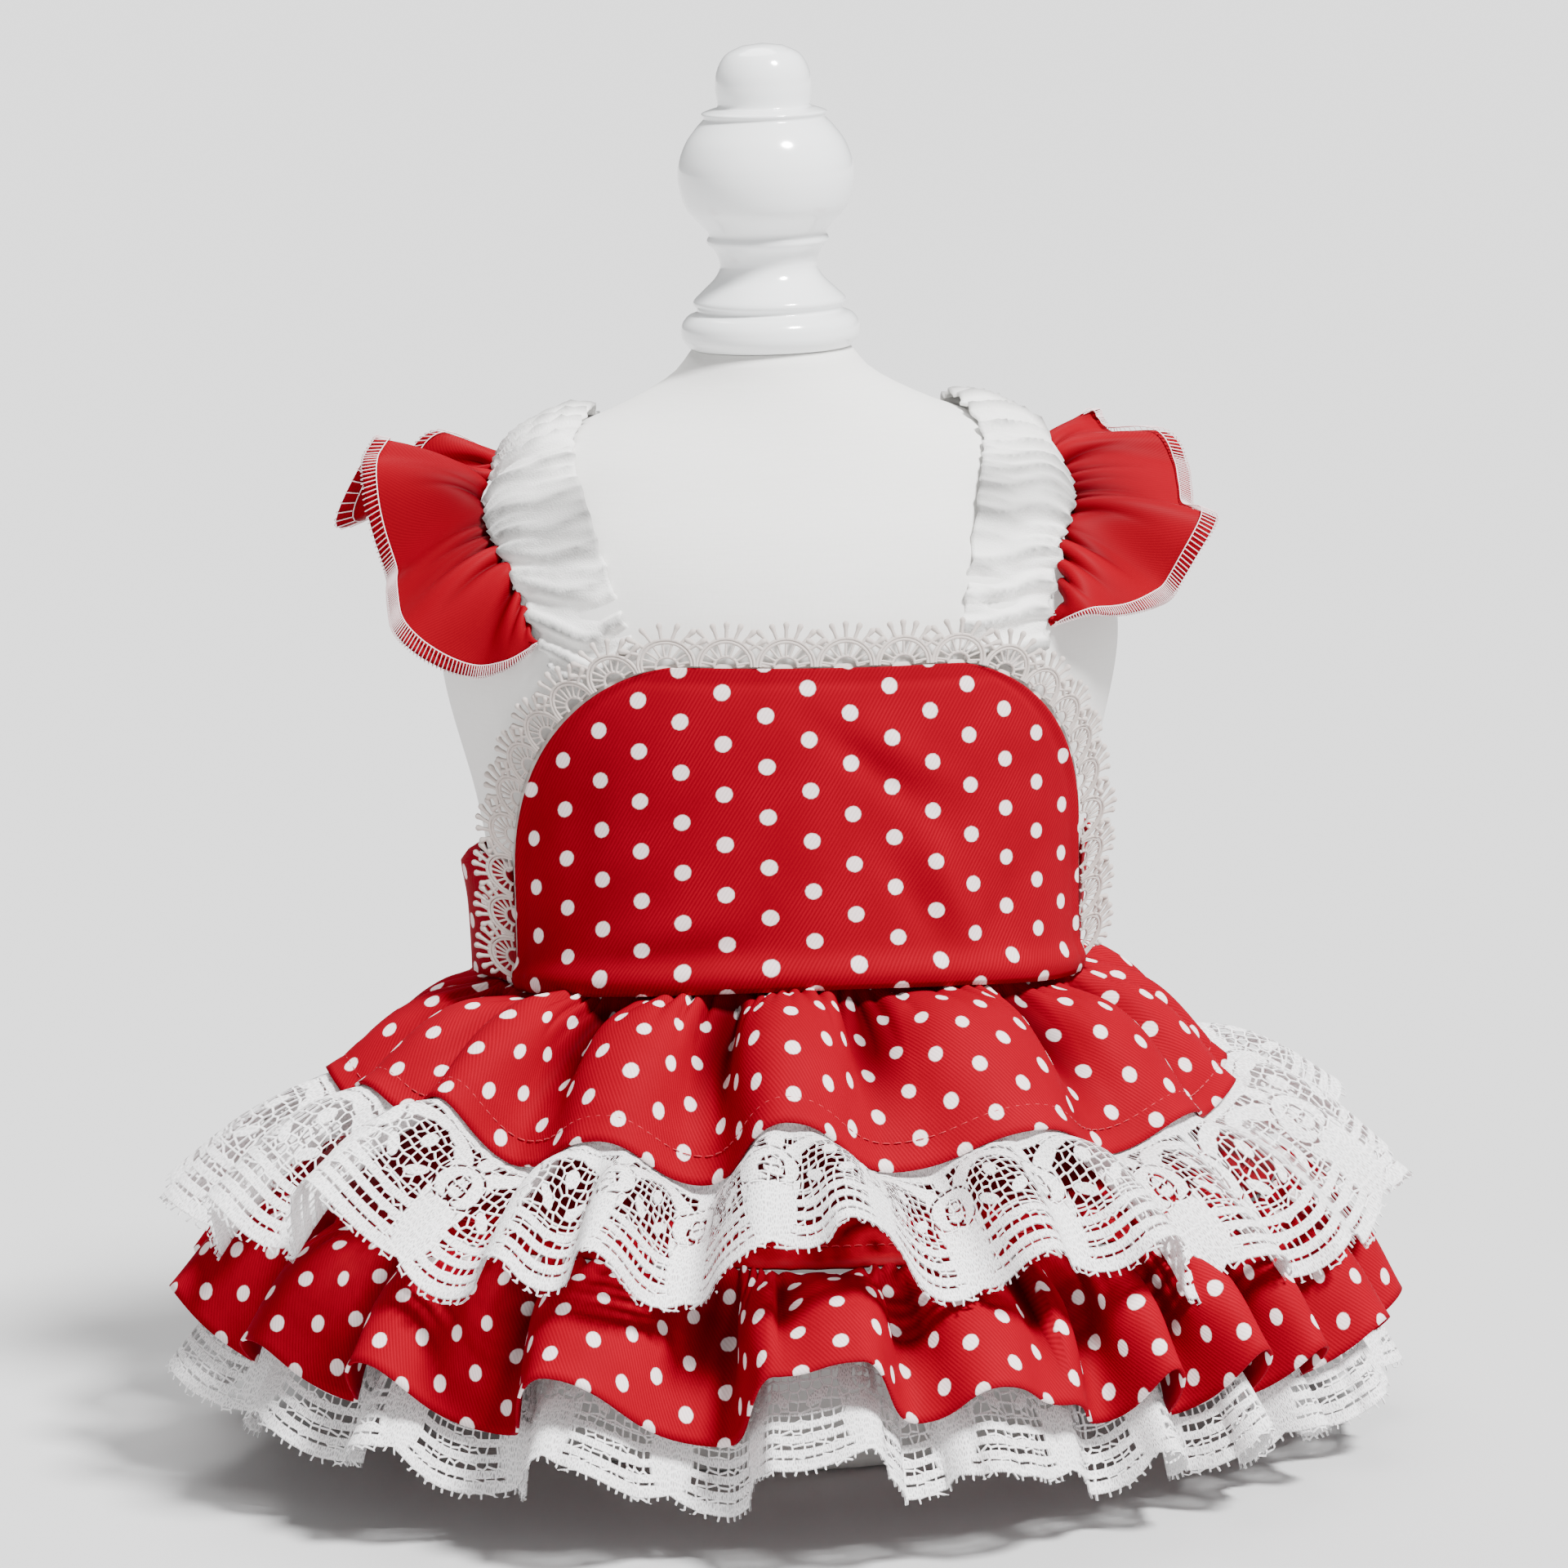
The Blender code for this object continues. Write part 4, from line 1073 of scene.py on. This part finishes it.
def scalloped(x):
    """How far the lace's hem reaches past its cusps at a place along it."""
    cusp = abs((x / LACE_REPEAT) % 1.0 - 0.5) * 2.0
    return LACE_SCALLOP * (1.0 - cusp * cusp)


def skirt_piece(
    name, node, material, surface, slope, columns, rows, relief, is_lace=False,
    share=lambda angle: 1.0, hem_row=None, red_thread=None,
):
    """A closed ring of cloth gathered into its seam; its flat width is the length of its hem, and
    share(angle) is its length down the slope compared with that in front."""
    angles, lengths = hem_table(surface)
    width = float(lengths[-1])
    stretch = round(width / LACE_REPEAT) * LACE_REPEAT / width if is_lace else 1.0

    def angle_of(u):
        return float(np.interp(u * width, lengths, angles))

    def point(u, v):
        if not is_lace:
            return surface(angle_of(u), v)
        extra = scalloped(u * width * stretch) + LACE_PICOT
        return surface(angle_of(u % 1.0), v, slope=slope + extra * v)

    def flat(u, v):
        x = u * width * stretch
        if is_lace:
            return (x, v * (slope + scalloped(x) + LACE_PICOT))
        return (x, v * slope * share(angle_of(u)))

    def hem_stitch(x):
        return outward_of(surface, angle_of(x / width), 1.0 - HEM_TURN / slope)

    piece = cloth(
        name, material, columns, rows, point, flat, LACE_WALL if is_lace else CLOTH_WALL, closed=True,
        relief=lambda u, v: relief(u * width, v, angle_of(u)),
    )
    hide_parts(node)
    with_pieces = []
    if hem_row:
        with_pieces = [stitches(hem_row, red_thread, hem_stitch, width)]
    return piece


def folded(folds, angle, v, height, depth):
    """Ridges that swell below the seam, and narrow valleys that start at it and fade towards the hem."""
    ridge = fold_at(folds, math.degrees(angle))[2]
    wide = 1.0 - (1.0 - ridge) ** 2.2
    swell = ease(clamp(v / 0.4)) * (1.0 - ease(clamp((v - 0.45) / 0.55)))
    groove = ease(clamp(v / 0.12)) * (1.0 - ease(clamp((v - 0.3) / 0.6)))
    return height * wide * swell - depth * (1.0 - ridge) ** 4 * groove


def tier_relief(x, v, angle):
    gathered = pulled(x, v, 7.6, 0.4, 3.4, 0.46, 1.1) * ease(clamp(v / 0.05))
    hem = 0.25 * bump((v - 1.0) * TIER_SLOPE, 2.5) - 0.3 * bump((v - 1.0) * TIER_SLOPE + HEM_TURN, 0.9)
    return gathered + hem + folded(TIER, angle, v, 3.4, 3.6)


def lace_upper_relief(x, v, angle):
    sewn_down = clamp(v / LACE_TUCK)
    return sewn_down * (pulled(x, v, 6.0, 1.1, 0.9, 0.5, 1.5) + folded(LACE_UPPER, angle, v, 2.0, 1.5))


def underskirt_relief(x, v, angle):
    return gathers(x, 9.0, 0.9) * 0.8 * v - 0.2 * bump((v - 1.0) * UNDERSKIRT_LENGTH + HEM_TURN, 0.9)


def ruffle_relief(x, v, angle):
    return pulled(x, v, 8.0, 2.3, 2.6, 0.6, 1.2) + folded(RUFFLE, angle, v, 2.4, 3.0)


def lace_lower_relief(x, v, angle):
    return pulled(x, v, 5.0, 0.2, 0.8, 0.3) + gathers(x, 13.0, 1.7) * 2.0 * v


def stitches(name, material, point, width):
    """Running stitches along a line of cloth; point(x) gives a place and the way out of the cloth."""
    paths = []
    count = int(width / (STITCH_LENGTH + STITCH_GAP))
    for n in range(count):
        path = []
        for share, lift in STITCH_RISE:
            spot, outward = point(n * width / count + STITCH_LENGTH * share)
            path.append(spot + outward * lift)
        paths.append(path)
    return threads(name, material, paths, THREAD_RADIUS, 1)


def build_skirt(dotted, red, lace_top, lace_bottom, red_thread):
    tier = skirt_piece(
        "skirt_upper_tier", "skirt_tier", dotted, tier_at, TIER_SLOPE, 840, 28, tier_relief,
        share=tier_share, hem_row="tier_hem_stitches",
        red_thread=red_thread,
    )
    skirt_piece(
        "lace_frill_upper", "lace_upper", lace_top, lace_upper_at, LACE_UPPER_SLOPE, 900, 24,
        lace_upper_relief, is_lace=True,
    )
    under = skirt_piece(
        "plain_underskirt", "underskirt", red, underskirt_at, UNDERSKIRT_LENGTH, 480, 18,
        underskirt_relief, hem_row="underskirt_hem_stitches", red_thread=red_thread,
    )
    skirt_piece(
        "dotted_ruffle", "skirt_ruffle", dotted, ruffle_at, RUFFLE_SLOPE, 900, 20,
        ruffle_relief,
    )
    skirt_piece(
        "lace_frill_lower", "lace_lower", lace_bottom, lace_lower_at, LACE_LOWER_SLOPE, 900, 24,
        lace_lower_relief, is_lace=True,
    )


def build_bodice(dotted):
    def front_flat(u, v):
        angle, z, t = front_place(u, v)
        across = oval_length(angle) * (form_half_width(z) + PANEL_AWAY) / form_half_width(DOT_LEVEL)
        sag = DOT_SAG[-1 if across < 0.0 else 1] * across * across
        if across < 0.0:
            across *= DOT_LEFT_CLOSER
        return (across - DOT_ASIDE, z + DOT_LOWER + sag)

    panel = cloth(
        "bodice_panel", dotted, 130, 90, front_point, front_flat, CLOTH_WALL, relief=front_relief,
    )
    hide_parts("bodice_front")

    def band_flat(u, v):
        angle, z = band_place(u, v)
        return (angle * BAND_RADIUS, z)

    band = cloth("bodice_back_band", dotted, 180, 14, band_point, band_flat, CLOTH_WALL)
    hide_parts("bodice_band")


def strap_relief(u, v, side):
    """The elastic on both edges pulls the strap into long gathers with shorter ones between them."""
    x = u * STRAP_LENGTH
    long = gathers(x - 5.0 * v + 2.0 * math.sin(v * 5.0 + side), 7.5, 1.3 + side)
    inner = pulled(x - 3.0 * v, v, 5.0, 0.6 + side, 1.8, 0.6)
    outer = gathers(x - 6.0 * v, 4.6, 2.1 + side) * clamp((v - 0.45) / 0.55)
    return STRAP_PUFF + 2.6 * long + inner + 2.0 * outer


def gathered_strap(u, v, side):
    pulled_in = STRAP_EDGE_PULL * gathers(u * STRAP_LENGTH, 6.5, 0.9 + side) * (1.0 - 2.0 * v)
    return strap_point(u, v, side) + Vector((side * pulled_in, 0.0, 0.0))


def frill_relief(u, v, side):
    x = u * FRILL_SEAM
    return pulled(x, v, 9.0, 0.7 + side, 3.4, 0.75, 1.3) + pulled(x, v, 22.0, 2.0 - side, 2.8, 0.9)


def overlock_paths(side):
    """Slanting stitches over the frill's free edge, and the two threads that run along them."""
    def rim(u, start, v, slant=0.0):
        here, inner = frill_point(u, 1.0, side), frill_point(clamp(u + slant), start, side)
        aside = frill_point(clamp(u + 0.01), v, side) - frill_point(clamp(u - 0.01), v, side)
        outward = (here - inner).normalized()
        return here, inner, outward, aside.cross(outward).normalized()

    paths = []
    for n in range(OVERLOCK_STITCHES):
        here, inner, outward, face = rim((n + 0.5) / OVERLOCK_STITCHES, 0.89, 1.0, 0.003)
        face *= 0.55
        paths.append([
            inner + face, here + face * 0.9, here + outward * 0.5, here - face * 1.6, inner - face * 1.9,
        ])
    for lift in (0.5, -1.0):
        path = []
        for n in range(181):
            here, inner, outward, face = rim(n / 180.0, OVERLOCK_INSIDE, OVERLOCK_INSIDE)
            path.append(inner + face * lift)
        paths.append(path)
    return paths


def build_shoulders(white, red, overlock_thread):
    for side, name in ((-1, "left"), (1, "right")):
        strap = cloth(
            "shoulder_strap_" + name, white, 190, 28, lambda u, v: gathered_strap(u, v, side),
            lambda u, v: (u * STRAP_WEAVE[0], v * STRAP_WEAVE[1]), CLOTH_WALL,
            relief=lambda u, v: strap_relief(u, v, side), inside_out=side == 1,
        )
        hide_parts("strap_" + name)

        frill = cloth(
            "shoulder_frill_" + name, red, 150, 30, lambda u, v: frill_point(u, v, side),
            lambda u, v: (u * FRILL_WEAVE[0], v * FRILL_WEAVE[1]), CLOTH_WALL * 0.8,
            relief=lambda u, v: frill_relief(u, v, side), inside_out=side == -1,
        )
        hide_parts("frill_" + name)
        overlock = threads("frill_overlock_" + name, overlock_thread, overlock_paths(side), THREAD_RADIUS, 1)
        edge = [frill_point(n / 60.0, 1.0, side) for n in range(61)]
        edge_length = sum((b - a).length for a, b in zip(edge, edge[1:]))


# Studio

def build_studio():
    side, roll = math.radians(CAMERA_SIDE_DEG), math.radians(CAMERA_ROLL_DEG)
    place = MM * Vector((
        CAMERA_DISTANCE * math.sin(side), -CAMERA_DISTANCE * math.cos(side), CAMERA_HEIGHT,
    ))
    forward = (Vector(CAMERA_TARGET) * MM - place).normalized()
    level = forward.cross(Vector((0, 0, 1))).normalized()
    upright = level.cross(forward)
    right = level * math.cos(roll) - upright * math.sin(roll)
    up = level * math.sin(roll) + upright * math.cos(roll)
    lens = bpy.data.cameras.new("camera")
    lens.lens = CAMERA_LENS
    lens.sensor_width = SENSOR_WIDTH
    lens.sensor_fit = "HORIZONTAL"
    camera = placed("camera", lens)
    turned = Matrix((right, up, -forward)).transposed().to_4x4()
    turned.translation = place
    camera.matrix_world = turned
    bpy.context.scene.camera = camera

    bm = bmesh.new()
    bmesh.ops.create_grid(bm, x_segments=1, y_segments=1, size=FLOOR_HALF * MM)
    floor_mesh = bpy.data.meshes.new("floor")
    bm.to_mesh(floor_mesh)
    bm.free()
    paper, tree = new_material("white_paper", 0.9)
    tree.nodes["Principled BSDF"].inputs["Base Color"].default_value = linear("C2C2C2")
    floor_mesh.materials.append(paper)
    floor = placed("floor", floor_mesh)
    floor.location = (0.0, 0.0, -FLOOR_BELOW * MM)

    world = bpy.data.worlds.new("studio_air")
    world.use_nodes = True
    air = world.node_tree.nodes["Background"]
    air.inputs[0].default_value = (1.0, 1.0, 1.0, 1.0)
    air.inputs[1].default_value = AIR_BRIGHTNESS
    bpy.context.scene.world = world
    for name, way, strength, softness in LIGHTS:
        light = bpy.data.lights.new(name, "SUN")
        light.energy = strength
        light.angle = math.radians(softness)
        lamp = placed(name, light)
        lamp.location = Vector(way) * LAMP_DISTANCE * MM
        lamp.rotation_euler = (-Vector(way)).to_track_quat("-Z", "Y").to_euler()


def main():
    build_studio()
    dotted = dotted_cotton()
    red = red_satin()
    white = strap_cotton()
    lace_top = lace("upper_net_lace", LACE_UPPER_SLOPE)
    lace_bottom = lace("lower_net_lace", LACE_LOWER_SLOPE)
    # the cord's colour is its ivory thread darkened to a grey beige, partly painted shade where the corded
    # threads shadow each other
    cord = thread_material("ivory_lace_cord_painted_shade", "C7BDB7", "B1A7A1")
    overlock_thread = thread_material("white_overlock_thread", "F0DCDC", "E6C8CA", 0.6)
    red_thread = thread_material("red_sewing_thread", "B8142A", "8E0A1C", 0.5)
    build_form(form_linen(), white_lacquer())
    build_bodice(dotted)
    build_trim(cord)
    build_shoulders(white, red, overlock_thread)
    build_skirt(dotted, red, lace_top, lace_bottom, red_thread)


main()
